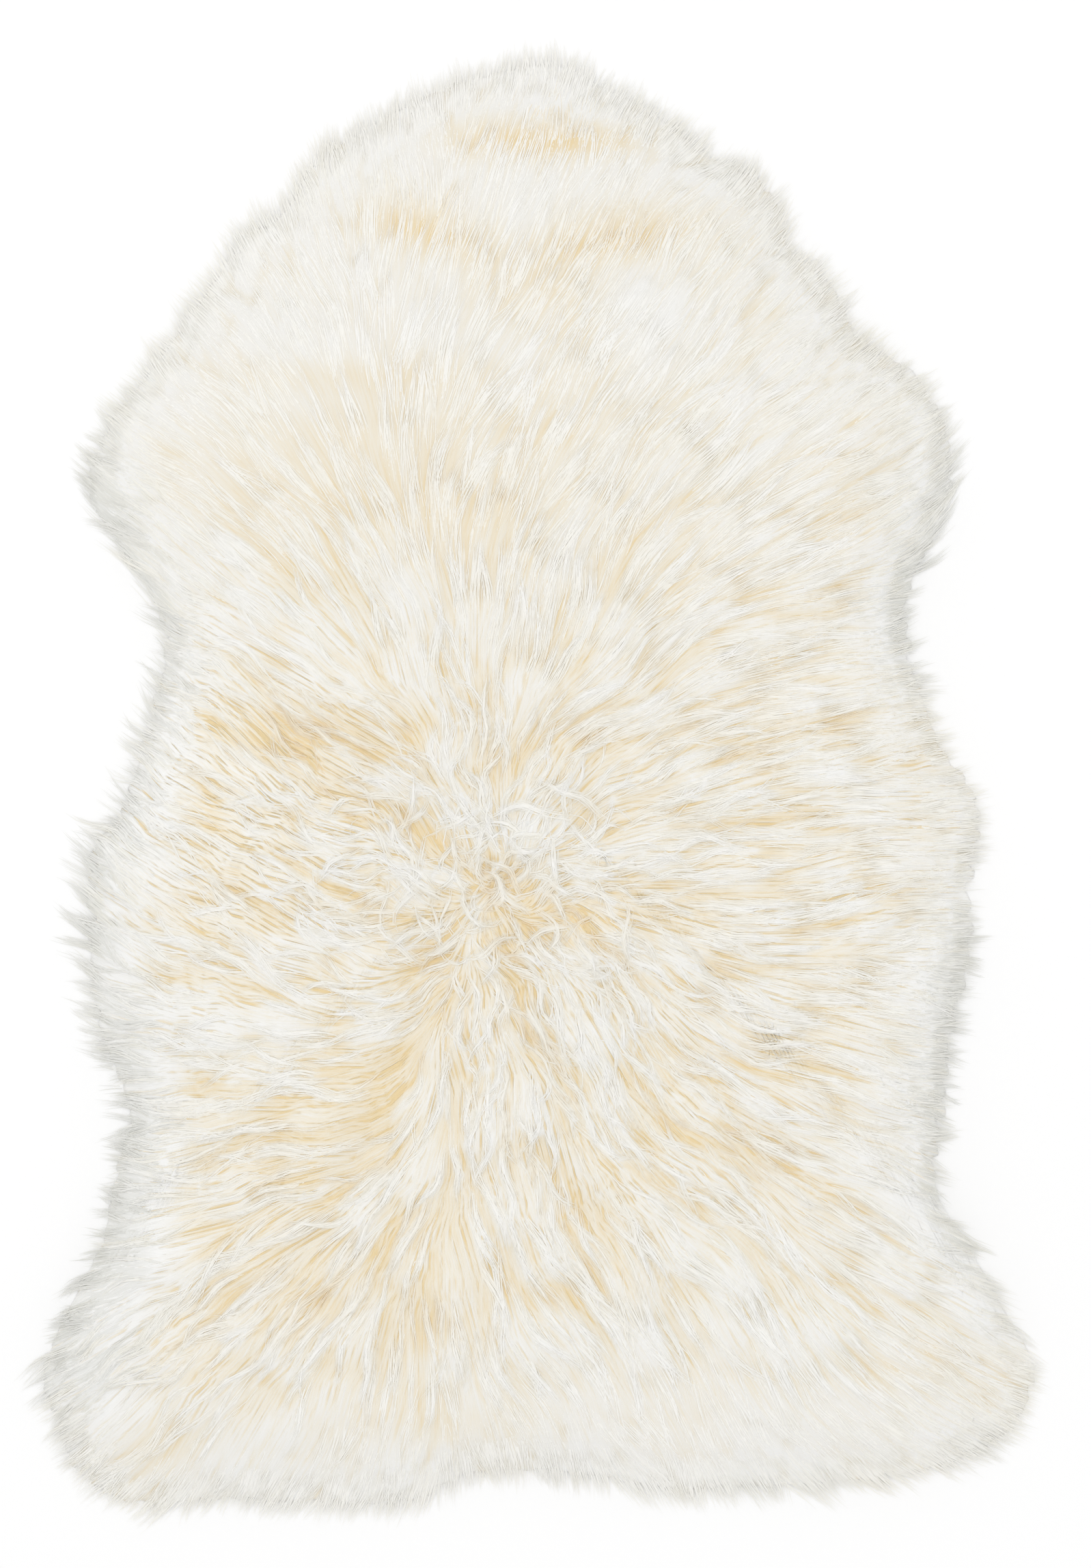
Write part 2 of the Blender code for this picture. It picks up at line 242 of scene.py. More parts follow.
# the character of the wool over the rug, each from 0 to 1
character = {
    # smooth plush: across, along, half width, half length, turn, strength
    "plush": (
        (0, 440, 210, 120, 0, 1.0),
        (-200, 290, 140, 110, 40, 0.9),
        (120, -450, 260, 60, 0, 0.9),
        (-150, -470, 200, 40, 0, 0.8),
        (-40, 300, 120, 60, 0, 0.5),
        (0, 245, 260, 140, 0, 0.62),
    ),
    # strong fine streaks
    "streaky": (
        (-200, -10, 120, 110, -15, 1.0),
        (0, -100, 130, 90, 0, 0.6),
        (60, -250, 160, 90, 0, 0.35),
        (190, -40, 110, 150, 0, 0.35),
        (-190, -300, 110, 110, 0, 0.4),
    ),
    # curly and pointed, round the whorl
    "curly": (
        (-40, -60, 110, 90, 0, 1.0),
        (10, -150, 90, 80, 0, 0.6),
    ),
    # long parallel waves
    "wavy": (
        (-200, -80, 120, 190, 0, 1.0),
        (-210, -330, 120, 120, 0, 0.9),
        (60, -260, 160, 110, 0, 0.7),
        (-230, 40, 90, 70, 0, 0.8),
    ),
    # partings and hollows, where the golden inner wool shows, with painted shade in the hollows
    "golden": (
        (6, 437, 60, 13, 0, 0.95),
        (-78, 375, 43, 15, -15, 0.85),
        (48, 369, 58, 17, 8, 0.85),
        (-8, 330, 60, 28, 0, 0.5),
        (-106, 276, 102, 13, 0, 0.35),
        (-150, 225, 95, 50, 10, 0.3),
        (20, 175, 190, 80, 0, 0.16),
        (-190, -310, 110, 80, 0, 0.18),
        (-78, 190, 154, 33, 3, 0.35),
        (6, 237, 93, 28, 0, 0.25),
        (-166, 32, 37, 23, -20, 1.0),
        (-222, 46, 23, 16, -20, 0.5),
        (-115, 46, 28, 14, -20, 0.5),
        (-73, -36, 33, 9, -35, 0.85),
        (-24, 18, 28, 10, 40, 0.5),
        (80, -3, 16, 9, 20, 0.55),
        (178, 39, 51, 11, -8, 0.45),
        (43, 32, 42, 14, 10, 0.35),
        (29, -94, 60, 14, 8, 0.5),
        (-20, -71, 28, 7, -20, 0.5),
        (-87, -117, 28, 23, 0, 0.3),
        (-66, -161, 10, 26, 0, 0.6),
        (-20, -150, 10, 21, 10, 0.5),
        (-104, -187, 33, 11, 30, 0.7),
        (-138, -233, 60, 12, 33, 0.55),
        (-157, -267, 21, 9, 10, 0.9),
        (145, -257, 79, 14, -25, 0.5),
        (43, -257, 37, 10, -50, 0.4),
        (-134, -338, 51, 11, 35, 0.6),
        (-180, -312, 23, 9, 40, 0.5),
        (-69, -373, 28, 13, 10, 0.5),
        (10, -345, 47, 11, -5, 0.5),
        (-250, -389, 30, 26, 0, 0.55),
        (-259, -443, 28, 19, 0, 0.4),
        (-87, -429, 56, 23, 0, 0.35),
        (290, -385, 23, 9, -10, 0.5),
        (304, -420, 19, 19, 0, 0.3),
        (238, -401, 33, 14, 0, 0.25),
    ),
    # white masses of fine tips
    "pale": (
        (-41, -26, 37, 16, 0, 1.0),
        (34, -40, 42, 16, 0, 0.6),
        (104, -50, 33, 12, 0, 0.6),
        (43, -182, 21, 28, 0, 0.8),
        (173, -345, 51, 56, 0, 0.8),
        (-166, -136, 37, 42, 0, 0.5),
        (155, -19, 51, 23, 0, 0.5),
        (-87, 116, 154, 19, 0, 0.6),
        (15, 302, 121, 16, 0, 0.4),
        (169, 311, 56, 56, 0, 0.6),
        (234, -192, 33, 102, 0, 0.6),
        (-64, -396, 28, 14, 0, 0.5),
        (38, -389, 37, 14, 0, 0.5),
        (-227, -164, 28, 28, 0, 0.5),
    ),
    # painted shade: grey on the flanks of the rim, where its slopes lie in shade
    "grey": (
        (250, 125, 18, 56, -5, 1.0),
        (283, -126, 11, 28, 0, 0.7),
        (280, -192, 13, 56, 0, 0.8),
        (278, -271, 13, 33, 0, 0.8),
        (-301, -80, 23, 65, 0, 0.6),
        (-278, -173, 23, 51, 0, 0.8),
        (-278, -257, 26, 56, 0, 0.8),
        (-287, -336, 33, 51, 0, 0.8),
        (-297, -396, 37, 37, 0, 0.6),
        (-287, 185, 28, 23, -35, 0.6),
        (-266, 125, 14, 28, 0, 0.4),
        (-297, -15, 19, 28, 0, 0.4),
        (304, -447, 23, 14, 30, 0.3),
    ),
    # painted shade: where the rim's slope lies in shade, it is painted grey
    "shadedRim": (
        (-310, 200, 55, 55, 0, 0.85),
        (-265, 90, 45, 70, 0, 0.9),
        (-310, -30, 60, 110, 0, 0.75),
        (-290, -250, 70, 110, 0, 0.8),
        (-330, -370, 55, 75, 0, 0.9),
        (280, 165, 50, 85, 0, 1.0),
        (300, -110, 50, 60, 0, 0.8),
        (285, -230, 55, 110, 0, 0.95),
        (300, -330, 45, 40, 0, 0.6),
    ),
}


def mask(kind, x, y):
    # how far the wool is of this kind: its spots laid over each other
    total = np.zeros_like(x)
    for *spot, strength in character[kind]:
        total = either(total, strength * blot(x, y, *spot))
    return total


def kindsAt(x, y):
    # the shares of plush, waves and curls
    return [mask(kind, x, y) for kind in ("plush", "wavy", "curly")]


def ofWool(values, shares):
    # a value for a mix of wool: the plain one goes over to each of the others by its share
    value = values[0]
    for other, share in zip(values[1:], shares):
        value = blend(value, other, share)
    return value


# the tone of the wool, where 0 is the grey of painted shade, 0.3 is cool white and 1 is golden
tones = {
    # the grey is painted shade, where the rim's slopes lie in shade
    "greyReach": 39.0,  # in from the rim
    "shadedRim": 0.95,
    "greyPower": 0.75,  # under 1 it widens the grey
    "greyed": 0.9,  # how much of the tone the grey takes away
    "paleReach": 42.0,
    "palePlush": 0.85,
    "paleSpots": 0.8,
    "plain": 0.55,
    "golden": 0.45,
    "drift": 0.1,
    "driftSize": 110.0,
    "white": 0.32,
    "whitened": 0.75,  # where the wool is pale
    "tipped": 0.6,  # how far pale wool has the colour of its tips all along
}


def nearRim(x, y, reach):
    # 1 at the rim, and a bell curve of this reach inwards from it
    return np.exp(-((np.maximum(insideAt(x, y), 0) / reach) ** 2))


def paintedShade(x, y):
    # painted shade: grey in spots, and along parts of the rim where its slopes lie in shade
    rim = tones["shadedRim"] * nearRim(x, y, tones["greyReach"]) * mask("shadedRim", x, y)
    return either(mask("grey", x, y), rim) ** tones["greyPower"]


def paleness(x, y):
    # where the wool is white from root to tip: in the plush, round the rim and in white masses
    plush = tones["palePlush"] * mask("plush", x, y)
    rim = nearRim(x, y, tones["paleReach"])
    pale = either(plush, rim, tones["paleSpots"] * mask("pale", x, y))
    return pale * (1 - mask("golden", x, y))


def baseTone(x, y):
    # plain wool with a broad drift, warmer where it is golden, whiter where it is pale, and grey
    # where shade is painted
    tone = tones["plain"] + tones["drift"] * ripples(x, y, tones["driftSize"], seed=5)
    # golden spots: the inner wool's colour, with painted shade in the hollows
    tone = tone + tones["golden"] * mask("golden", x, y)
    white = either(tones["paleSpots"] * mask("pale", x, y), tones["whitened"] * paleness(x, y))
    return blend(tone, tones["white"], white) * (1 - tones["greyed"] * paintedShade(x, y))


def paled(along, x, y):
    # moves the places along the wool towards its white tips where it is pale
    pale = paleness(x, y)[:, None]
    return np.clip(along + (tones["tipped"] - tones["tipped"] * along) * pale, 0.0, 1.0)


def combHeading(x, y):
    # the angle of the wool's lie: out from the whorl, stretched sideways, plus the local turns,
    # and swinging in the waves
    awayX = x - comb["whorl"][0] + comb["warp"] * ripples(x, y, comb["warpSize"], seed=51)
    awayY = y - comb["whorl"][1] + comb["warp"] * ripples(x, y, comb["warpSize"], seed=52)
    heading = np.arctan2(awayY, awayX * comb["sideways"])
    for *spot, turn in comb["turns"]:
        heading = heading + math.radians(turn) * blot(x, y, *spot)
    centre = blot(x, y, *comb["whorl"], *comb["whorlReach"])
    heading = heading + comb["whorlTurn"] * centre * ripples(x, y, comb["whorlTuft"], seed=17)
    lean, held = math.radians(comb["tuftHeading"]), blot(x, y, *comb["tuft"])
    heading = np.arctan2(
        (1 - held) * np.sin(heading) + held * math.sin(lean),
        (1 - held) * np.cos(heading) + held * math.cos(lean),
    )
    swing = comb["swing"] * mask("wavy", x, y) + comb["swingPlain"] * (1 - mask("plush", x, y))
    wander = comb["wander"] * ripples(x, y, comb["wanderSize"], seed=3)
    wave = 2 * math.pi * (np.hypot(awayX, awayY) / comb["wave"] + wander)
    return heading + swing * np.sin(wave)


groundX, groundY = np.meshgrid(gridX, gridY)
groundHeading = combHeading(groundX, groundY)
flowX, flowY = np.cos(groundHeading), np.sin(groundHeading)
plushField = mask("plush", groundX, groundY)


def combed(noise, reach):
    # noise smeared along the comb by this reach either way, from about -2 to 2
    total = noise
    for way in (1, -1):
        x, y = groundX, groundY
        for _ in range(round(reach / ground["step"])):
            stepX, stepY = readField(flowX, x, y), readField(flowY, x, y)
            x, y = x + way * ground["step"] * stepX, y + way * ground["step"] * stepY
            total = total + readField(noise, x, y)
    return (total - total.mean()) / total.std()


def scatter(pitch, jitter, inset):
    # points on a triangular grid, each moved a little, kept where they lie inside the outline
    rows = np.arange(gridY[0], gridY[-1], pitch * math.sqrt(0.75))
    columns = np.arange(gridX[0], gridX[-1], pitch)
    x, y = np.meshgrid(columns, rows)
    x = x + 0.5 * pitch * (np.arange(len(rows)) % 2)[:, None]
    x = (x + pitch * jitter * dice.uniform(-1, 1, x.shape)).ravel()
    y = (y + pitch * jitter * dice.uniform(-1, 1, y.shape)).ravel()
    keep = insideAt(x, y) > inset
    return x[keep], y[keep]


def combedPath(x, y, length, swing, waveLength, phase, curl, turn, steps):
    # a path that follows the comb field, set off by a turn: its heading swings like a sine wave
    # of the way gone, and turns more and more towards its end
    xs, ys = [x], [y]
    step = length / steps
    for k in range(steps):
        gone = (k + 0.5) / steps
        heading = combHeading(xs[-1], ys[-1]) + turn + curl * gone**2
        heading = heading + swing * np.sin(2 * math.pi * gone * length / waveLength + phase)
        xs.append(xs[-1] + step * np.cos(heading))
        ys.append(ys[-1] + step * np.sin(heading))
    return np.stack(xs, axis=1), np.stack(ys, axis=1)


def shareInside(xs, ys, margin):
    # the share of each path up to where it leaves the outline by more than the margin
    inside = insideAt(xs, ys) + margin[:, None]
    out = inside < 0
    first = np.where(out.any(1), out.argmax(1), xs.shape[1] - 1)
    first = np.maximum(first, 1)
    row = np.arange(len(xs))
    before, after = inside[row, first - 1], inside[row, first]
    part = np.where(out.any(1), before / np.maximum(before - after, 1e-6), 1.0)
    return np.clip((first - 1 + part) / (xs.shape[1] - 1), 0.0, 1.0)


locks = {
    "pitch": 14.5,
    "pitchCurly": 9.0,
    "curlyFrom": 0.25,  # the least curly wool that has more locks
    "jitter": 0.45,
    "inset": 4.0,
    "steps": 18,
    "length": (78.0, 60.0, 96.0, 36.0),  # in plain wool, plush, waves and curls
    "lengthSpread": (0.7, 1.3),
    # in plain wool, and what curls and waves add
    "swing": (0.07, 0.4, 0.16),
    "swingSpread": (0.5, 1.3),
    "waveLength": (40.0, -12.0, 25.0),
    "curl": (0.15, 0.6, 0.1),
    "turn": (0.07, 0.25),  # plain, and more on the whorl
    "turnReach": (60.0, 50.0),
    "drift": 0.12,
    "driftSize": 60.0,
    "atWhorl": 90,  # short ones that lie over it every way
    "acrossWhorl": (-34.0, 42.0),  # their middle and spread
    "alongWhorl": (-68.0, 26.0),
    "turnAtWhorl": 2.2,
    "liftAtWhorl": 1.2,
    "lift": (0.6, -0.35, 0.6),  # plain, and what plush and curls add
    "margin": (-9.0, 6.0),  # how far past the outline the tips go
    "marginPlush": 0.6,  # evener by this in the plush
    "longTips": (-270, -120, 80, 230),  # where they go further
    "longer": 7.0,
    "stub": 0.05,  # the least that is left of a lock
    "tone": 0.07,
}


def layLocks():
    # the path of every lock: it follows the comb, waves, curls at its tip, and ends at the outline
    x, y = scatter(locks["pitch"], locks["jitter"], locks["inset"])
    moreX, moreY = scatter(locks["pitchCurly"], locks["jitter"], locks["inset"])
    chosen = mask("curly", moreX, moreY) > dice.uniform(locks["curlyFrom"], 1.0, len(moreX))
    x, y = np.append(x, moreX[chosen]), np.append(y, moreY[chosen])
    first = len(x)
    x = np.append(x, dice.normal(*locks["acrossWhorl"], locks["atWhorl"]))
    y = np.append(y, dice.normal(*locks["alongWhorl"], locks["atWhorl"]))
    count = len(x)
    loose = np.arange(count) >= first
    kinds = np.array(kindsAt(x, y))
    plush, wavy, curly = kinds
    length = ofWool(locks["length"], kinds) * dice.uniform(*locks["lengthSpread"], count)
    swing = mixed(locks["swing"], curly, wavy) * dice.uniform(*locks["swingSpread"], count)
    waveLength = mixed(locks["waveLength"], curly, wavy)
    phase = dice.uniform(0, 2 * math.pi, count)
    curl = dice.normal(0, 1, count) * mixed(locks["curl"], curly, wavy)
    centre = blot(x, y, *comb["whorl"], *locks["turnReach"])
    turn = dice.normal(0, 1, count) * mixed(locks["turn"], centre)
    turn = turn + locks["drift"] * ripples(x, y, locks["driftSize"], seed=9)
    turn = turn + loose * dice.uniform(-locks["turnAtWhorl"], locks["turnAtWhorl"], count)
    margin = dice.uniform(*locks["margin"], count) * (1 - locks["marginPlush"] * plush)
    margin = margin + locks["longer"] * blot(x, y, *locks["longTips"])
    for attempt in range(3):
        xs, ys = combedPath(x, y, length, swing, waveLength, phase, curl, turn, locks["steps"])
        if attempt < 2:
            length = length * np.maximum(shareInside(xs, ys, margin), locks["stub"])
    lift = dice.normal(0, 1, count) * mixed(locks["lift"], plush, curly)
    return {
        "xs": xs, "ys": ys, "length": length, "kinds": kinds,
        "lift": lift + locks["liftAtWhorl"] * loose, "tone": dice.normal(0, locks["tone"], count),
    }


lay = layLocks()
print("lock paths ready:", len(lay["length"]))


def alongLocks(own, share):
    # places on the locks' paths: own names the lock of each row, share is the way gone along it
    steps = lay["xs"].shape[1] - 1
    at = share * steps
    low = np.minimum(at.astype(int), steps - 1)
    part = at - low
    row = own[:, None]
    return [
        path[row, low] * (1 - part) + path[row, low + 1] * part
        for path in (lay["xs"], lay["ys"])
    ]


relief = {
    "blur": 5.0,  # of the wool of the CAD
    "blurPlush": 26.0,
    "smoothPlush": 0.95,  # how far its tufts are combed away in the plush
    "stations": 44,
    "shortest": 8.0,
    "width": (9.0, 24.0, 8.5, 6.5),  # of a lock in plain wool, plush, waves and curls
    "widthSpread": (0.7, 1.3),
    "widest": 0.25,  # the share of the way along it
    "rootWidth": (0.7, 1.2),  # at its root, and how fast it widens
    "tipPower": 1.6,
    "thinnest": 0.15,
    "rise": 2.7,  # of a lock from its root
    "risePlush": 0.5,
    "risePower": 0.7,
    "riseMost": 0.4,  # of the height of the wool
    "crown": 1.4,  # a lock's middle over its sides
    "crownPlush": 0.2,
    "bold": (1.0, 1.3, 0.7),  # plain, and what waves and curls add to both
    "soften": 1.1,
    "softenPale": 0.88,
    "rib": 0.25,  # height of the fine ribs
    "ribLong": 16.0,
    "pit": 1.5,  # the most that the wool dips below its surroundings
    "pitReach": 7.0,
    "groove": 1.5,  # depth of the grooves between strands
    "grooveWide": 1.8,
    "grooveLong": 30.0,
    "grooveFrom": (-0.4, 1.3),  # where in the noise they start, and over how much they deepen
    "evenRim": 30.0,  # no ribs and grooves at the rim, and few in the plush
    "evenPlush": 0.8,
    "pale": (0.55, 0.45),  # how pale a lock is at its root, and how much more at its tip
    "paleFrom": (0.25, 0.5),  # where along it that starts, and over how much of it
    # partly painted shade: less pale at the lock's sides, where the round lock falls away
    "paleSides": 0.6,  # less at its sides
    "palePlush": (0.85, 0.75),  # all over in the plush, and how far it is that there
    # golden inner wool in the grooves, with painted light on the ribs and painted shade in the
    # grooves
    "paleRibs": 0.04,  # more on the ribs, and less in the grooves
    "paleGrooves": 0.6,
    "streaks": 0.42,  # strength of the streaks, and how much less it is in the plush
    "streaksPlush": 0.34,
    "hollow": (14.0, 3.0),  # reaches of the two blurs whose difference is the hollows
    "crease": 5.0,
}


def smoothTop():
    # the top of the wool of the CAD, with its tufts nearly combed away in the plush
    near, far = softened(rawTop, relief["blur"]), softened(rawTop, relief["blurPlush"])
    return near + (far - near) * relief["smoothPlush"] * plushField


smoothField = smoothTop()


def streakStrength(x, y):
    plain = relief["streaks"] - relief["streaksPlush"] * mask("plush", x, y)
    return blend(plain, 1, mask("streaky", x, y))


def makeRelief():
    # the wool's top as a relief of locks that lie over each other: along its path a lock rises
    # from its root, across it it is round, and the highest lock counts at each grid point.
    # beside the heights, it gives how pale the wool is there: darker at the roots, and darker
    # between the locks, at their sides and in the grooves, partly as painted shade; and each
    # point's lock and share of the way from root to tip on it
    own = np.flatnonzero(lay["length"] > relief["shortest"])
    share = np.repeat(np.linspace(0, 1, relief["stations"])[None], len(own), axis=0)
    x, y = alongLocks(own, share)
    kinds = lay["kinds"][:, own, None]
    plush, wavy, curly = kinds
    late = np.clip((share - relief["widest"]) / (1 - relief["widest"]), 0, 1)
    early = mixed(relief["rootWidth"], share)
    shape = np.where(share < relief["widest"], early, 1 - late ** relief["tipPower"])
    half = 0.5 * ofWool(relief["width"], kinds)
    half = half * dice.uniform(*relief["widthSpread"], (len(own), 1))
    half = half * np.maximum(shape, relief["thinnest"])
    bold = mixed(relief["bold"], wavy, curly)
    rise = bold * relief["rise"] + (relief["risePlush"] - relief["rise"]) * plush
    crown = bold * relief["crown"] + (relief["crownPlush"] - relief["crown"]) * plush
    base = readField(smoothField, x, y)
    rise = np.minimum(rise, relief["riseMost"] * base)
    high = base - rise * (1 - share ** relief["risePower"])
    high = high + lay["lift"][own][:, None] * (1 - plush)

    row, column = gridPlace(x, y)
    top = (smoothField - relief["rise"] * (1 - plushField)).ravel()
    pale, along = np.full(top.shape, relief["pale"][0]), np.zeros(top.shape)
    owner = np.full(top.shape, -1)
    numbers = np.repeat(own[:, None], relief["stations"], axis=1)
    reach = int(0.5 * relief["widthSpread"][1] * max(relief["width"]) / ground["step"])
    offsets = [(i, j) for i in range(-reach, reach + 1) for j in range(-reach, reach + 1)]
    for turn in ("heights", "owners"):
        for i, j in offsets:
            away = np.hypot(gridX[column + i] - x, gridY[row + j] - y) / half
            touched = away < 1
            level = (high - crown * away**2)[touched]
            place = ((row + j) * len(gridX) + column + i)[touched]
            if turn == "heights":
                np.maximum.at(top, place, level)
                continue
            highest = level >= top[place]
            place, gone = place[highest], share[touched][highest]
            # partly painted shade: less pale at the lock's sides
            sides = 1 - relief["paleSides"] * away[touched][highest] ** 4
            whiten = np.clip((gone - relief["paleFrom"][0]) / relief["paleFrom"][1], 0, 1)
            pale[place] = mixed(relief["pale"], whiten) * sides
            along[place] = gone
            owner[place] = numbers[touched][highest]
    top, pale, along, owner = (part.reshape(groundX.shape) for part in (top, pale, along, owner))

    grain = np.random.default_rng(21).normal(0, 1, groundX.shape)
    ribs = combed(grain, relief["ribLong"])
    # the same grain, moved along, makes the grooves
    coarse = combed(softened(np.roll(grain, 99), relief["grooveWide"]), relief["grooveLong"])
    grooves = np.clip((relief["grooveFrom"][0] - coarse) / relief["grooveFrom"][1], 0, 1)
    grooves = grooves * streakStrength(groundX, groundY)
    inward = np.clip(insideField / relief["evenRim"], 0, 1)
    inward = inward * (1 - relief["evenPlush"] * plushField)
    top = softened(top, relief["soften"]) + relief["rib"] * ribs * inward
    top = np.maximum(top, softened(top, relief["pitReach"]) - relief["pit"])
    top = top - relief["groove"] * grooves * inward
    pale = softened(pale, relief["softenPale"])
    pale = pale + (relief["palePlush"][0] - pale) * relief["palePlush"][1] * plushField
    # painted light on the ribs and painted shade in the grooves, over the golden inner wool
    pale = pale + relief["paleRibs"] * ribs - relief["paleGrooves"] * grooves
    return top, np.clip(pale, 0, 1), along, owner


topField, paleField, alongField, ownerField = makeRelief()
# how deep each place lies below the wool round it, in broad hollows and in fine creases
hollowField = softened(topField, relief["hollow"][0]) - softened(topField, relief["hollow"][1])
creaseField = softened(topField, relief["crease"]) - topField
print("relief of the locks ready")


under = {
    "inset": 4.5,
    "insetWispy": 3.0,  # more along the wispy flank
    "wispy": (-312, -110, 60, 190),
    "thinRim": (22.0, 34.0),  # how far in it is thin, in plain wool and in plush
    "thinnest": 0.05,
    "notch": 7.0,  # depth of the notches between the tips at the rim
    "notchWidth": 11.0,
    "notchPlush": 0.8,  # less by this in the plush
    "notchMix": (0.4, 0.6),  # how deep on average, and how much that varies
    "depth": (0.6, 0.4),  # below the top of the wool, in plain wool and in plush
    "cellsAcross": 250,
    "cellsAlong": 364,
    "foot": 2.6,  # over the hide
    "floor": 0.4,  # beside the hide
    "lowestTop": 0.8,
    "gap": 0.6,  # between the rings at the hide's edge
    # the warmth of its colour
    "white": 0.3,
    "root": 0.36,  # warmer at the roots
    "rootPower": 1.1,
    "paled": 0.85,  # less of that where the wool is pale
    # partly painted light: whiter on the raised crests, besides the white tips
    "crest": 0.17,  # whiter on the crests of the locks
    # painted shade: warmer where the wool lies deep in hollows and creases
    "hollow": 0.035,  # warmer in hollows and creases
    "hollowPlush": 0.7,
    "crease": 0.12,
    "golden": (0.34, 0.26),  # in golden spots, and more of it in the plush
    "drift": 0.06,
    # painted light: whiter at the rim, against the shade on its slope
    "rim": 0.12,  # whiter at the rim, and how far in
    "rimReach": 22.0,
}


def innerTop(x, y):
    # the top of the inner wool: a little below the locks, and thin at the rim, where it rises
    # half like a straight line and half like a sine
    top = readField(topField, x, y)
    plush = mask("plush", x, y)
    near = np.clip(insideAt(x, y) / ofWool(under["thinRim"], [plush]), under["thinnest"], 1)
    thin = 0.5 * near + 0.5 * np.sin(0.5 * math.pi * near)
    depth = np.minimum(ofWool(under["depth"], [plush]), 0.5 * top)
    return np.maximum(thin * (top - depth), under["lowestTop"])


hairs = {
    "pitch": 2.8,
    "jitter": 0.45,
    "inset": 5.0,
    "share": (0.6, 0.42),  # of the roots that are kept, in plain wool and in plush
    "denseRim": 35.0,
    "shortest": 7.0,
    "length": (42.0, 30.0),  # in plain wool and in curls
    "lengthSpread": (0.6, 1.2),
    "ends": (0.84, 1.07),  # share of the lock at which they end at the latest
    "width": 0.78,
    "widthSpread": (0.6, 1.3),
    "taper": (0.6, 0.4, 0.1),  # at the ends, more in the middle, and at the very tip
    "flatness": 0.16,  # height over width
    "section": ((-0.87, -0.5), (0.0, 1.0), (0.87, -0.5)),
    "roll": 0.12,
    "sharp": 75.0,  # in degrees, so that the two side edges are
    "lowest": 0.25,  # nothing of the wool goes below this
    "clump": (0.25, 0.1, 0.42, 0.45),  # in plain wool, plush, waves and curls
    "clumpPower": 1.2,
    "clumpRim": (0.3, 60.0),  # its share at the rim, and how far in it grows
    "stray": 1.3,
    "strayPower": 1.4,
    "lift": (0.5, 0.18, 0.9),  # over the inner wool, in plain wool, plush and curls
    "liftSpread": (0.2, 1.0),
    "climb": 0.35,  # the share of its length in which a hair climbs
    "sunk": 0.4,  # how much of its lift its root lies below the rest
    "clear": 0.1,
    "toneSpan": 0.02,  # across a hair
    "toneSpread": 0.04,
    "toneRange": (0.3, 0.95),
    "calm": 0.2,  # cooler in the plush
    "tipPale": 0.15,
    # painted shade: the hairs take more of their root colour in creases and hollows
    "crease": 0.10,  # darker in creases and hollows
    "hollow": 0.05,
    "deepest": 1.5,
    "golden": (0.5, 0.1),  # darker in golden spots, by a factor and by a step
    # the smoother the wool, the fewer stations a hair has along it
    "kinds": (("plush", 3, 2), ("combed", 3, 2), ("wavy", 4, 2), ("curly", 5, 1)),
    "combedFrom": 0.38,  # wool that is less plush, wavy and curly than this is just combed
    "wavyShare": 0.8,
}


def carry(name, path, widths, roll, tone, along):
    # closed strands: the section is carried along each path and shrinks to a point at the tip.
    # path is (strands, stations, 3), and widths and along are (strands, stations).
    # section holds places across and up, from -1 to 1, from the left edge over the top
    section = np.array(hairs["section"])
    count, rings, corners = len(path), path.shape[1] - 1, len(section)
    forward = np.gradient(path, axis=1)
    forward /= np.linalg.norm(forward, axis=2, keepdims=True)
    flat = np.maximum(np.hypot(forward[..., 0], forward[..., 1]), 1e-6)
    side = np.stack([forward[..., 1] / flat, -forward[..., 0] / flat, 0 * flat], axis=2)
    up = np.cross(side, forward)
    heights = widths * hairs["flatness"]
    across = section[:, 0] * widths[:, :rings, None] / 2
    rise = section[:, 1] * heights[:, :rings, None] / 2
    cosRoll, sinRoll = np.cos(roll)[:, None, None], np.sin(roll)[:, None, None]
    across, rise = across * cosRoll - rise * sinRoll, across * sinRoll + rise * cosRoll
    ring = path[:, :rings, None] + across[..., None] * side[:, :rings, None]
    ring = ring + rise[..., None] * up[:, :rings, None]
    ring[..., 2] = np.maximum(ring[..., 2], hairs["lowest"])
    points = np.concatenate([ring.reshape(count, -1, 3), path[:, rings:]], axis=1)

    each = corners * rings + 1
    here = np.arange(corners * (rings - 1)).reshape(-1, corners)
    ahead = np.roll(here, -1, axis=1)
    quads = np.stack([here, ahead, ahead + corners, here + corners], axis=2).reshape(-1, 4)
    last = np.arange(corners) + corners * (rings - 1)
    ends = np.stack([last, np.roll(last, -1), np.full(corners, each - 1)], axis=1)
    loops = np.concatenate([np.arange(corners)[::-1], quads.ravel(), ends.ravel()])
    sizes = np.concatenate([[corners], np.full(len(quads), 4), np.full(corners, 3)])

    # the map: across a strand is its tone, and along it is how pale it is
    spread = np.append(np.tile((section[:, 0] + 1) / 2, rings), 0.5)
    station = np.append(np.repeat(np.arange(rings), corners), rings)
    u = tone[:, None] + hairs["toneSpan"] * spread[loops]
    v = np.clip(along[:, station[loops]], 0.0, 1.0)

    mesh = bpy.data.meshes.new(name)
    mesh.vertices.add(count * each)
    mesh.loops.add(count * len(loops))
    mesh.polygons.add(count * len(sizes))
    mesh.vertices.foreach_set("co", (points * mm).ravel())
    numbers = loops[None] + each * np.arange(count)[:, None]
    mesh.loops.foreach_set("vertex_index", numbers.ravel().astype(np.int32))
    starts = np.concatenate([[0], np.cumsum(np.tile(sizes, count))[:-1]])
    mesh.polygons.foreach_set("loop_start", starts.astype(np.int32))
    mesh.polygons.foreach_set("use_smooth", np.ones(len(starts), bool))
    uvMap = mesh.uv_layers.new(name="OFBake")
    uvMap.data.foreach_set("uv", np.stack([u, v], axis=2).ravel())
    mesh.update(calc_edges=True)
    mesh.set_sharp_from_angle(angle=math.radians(hairs["sharp"]))
    return addPiece(name, mesh)


def addPiece(name, mesh):
    piece = bpy.data.objects.new(name, mesh)
    bpy.context.scene.collection.objects.link(piece)
    return piece


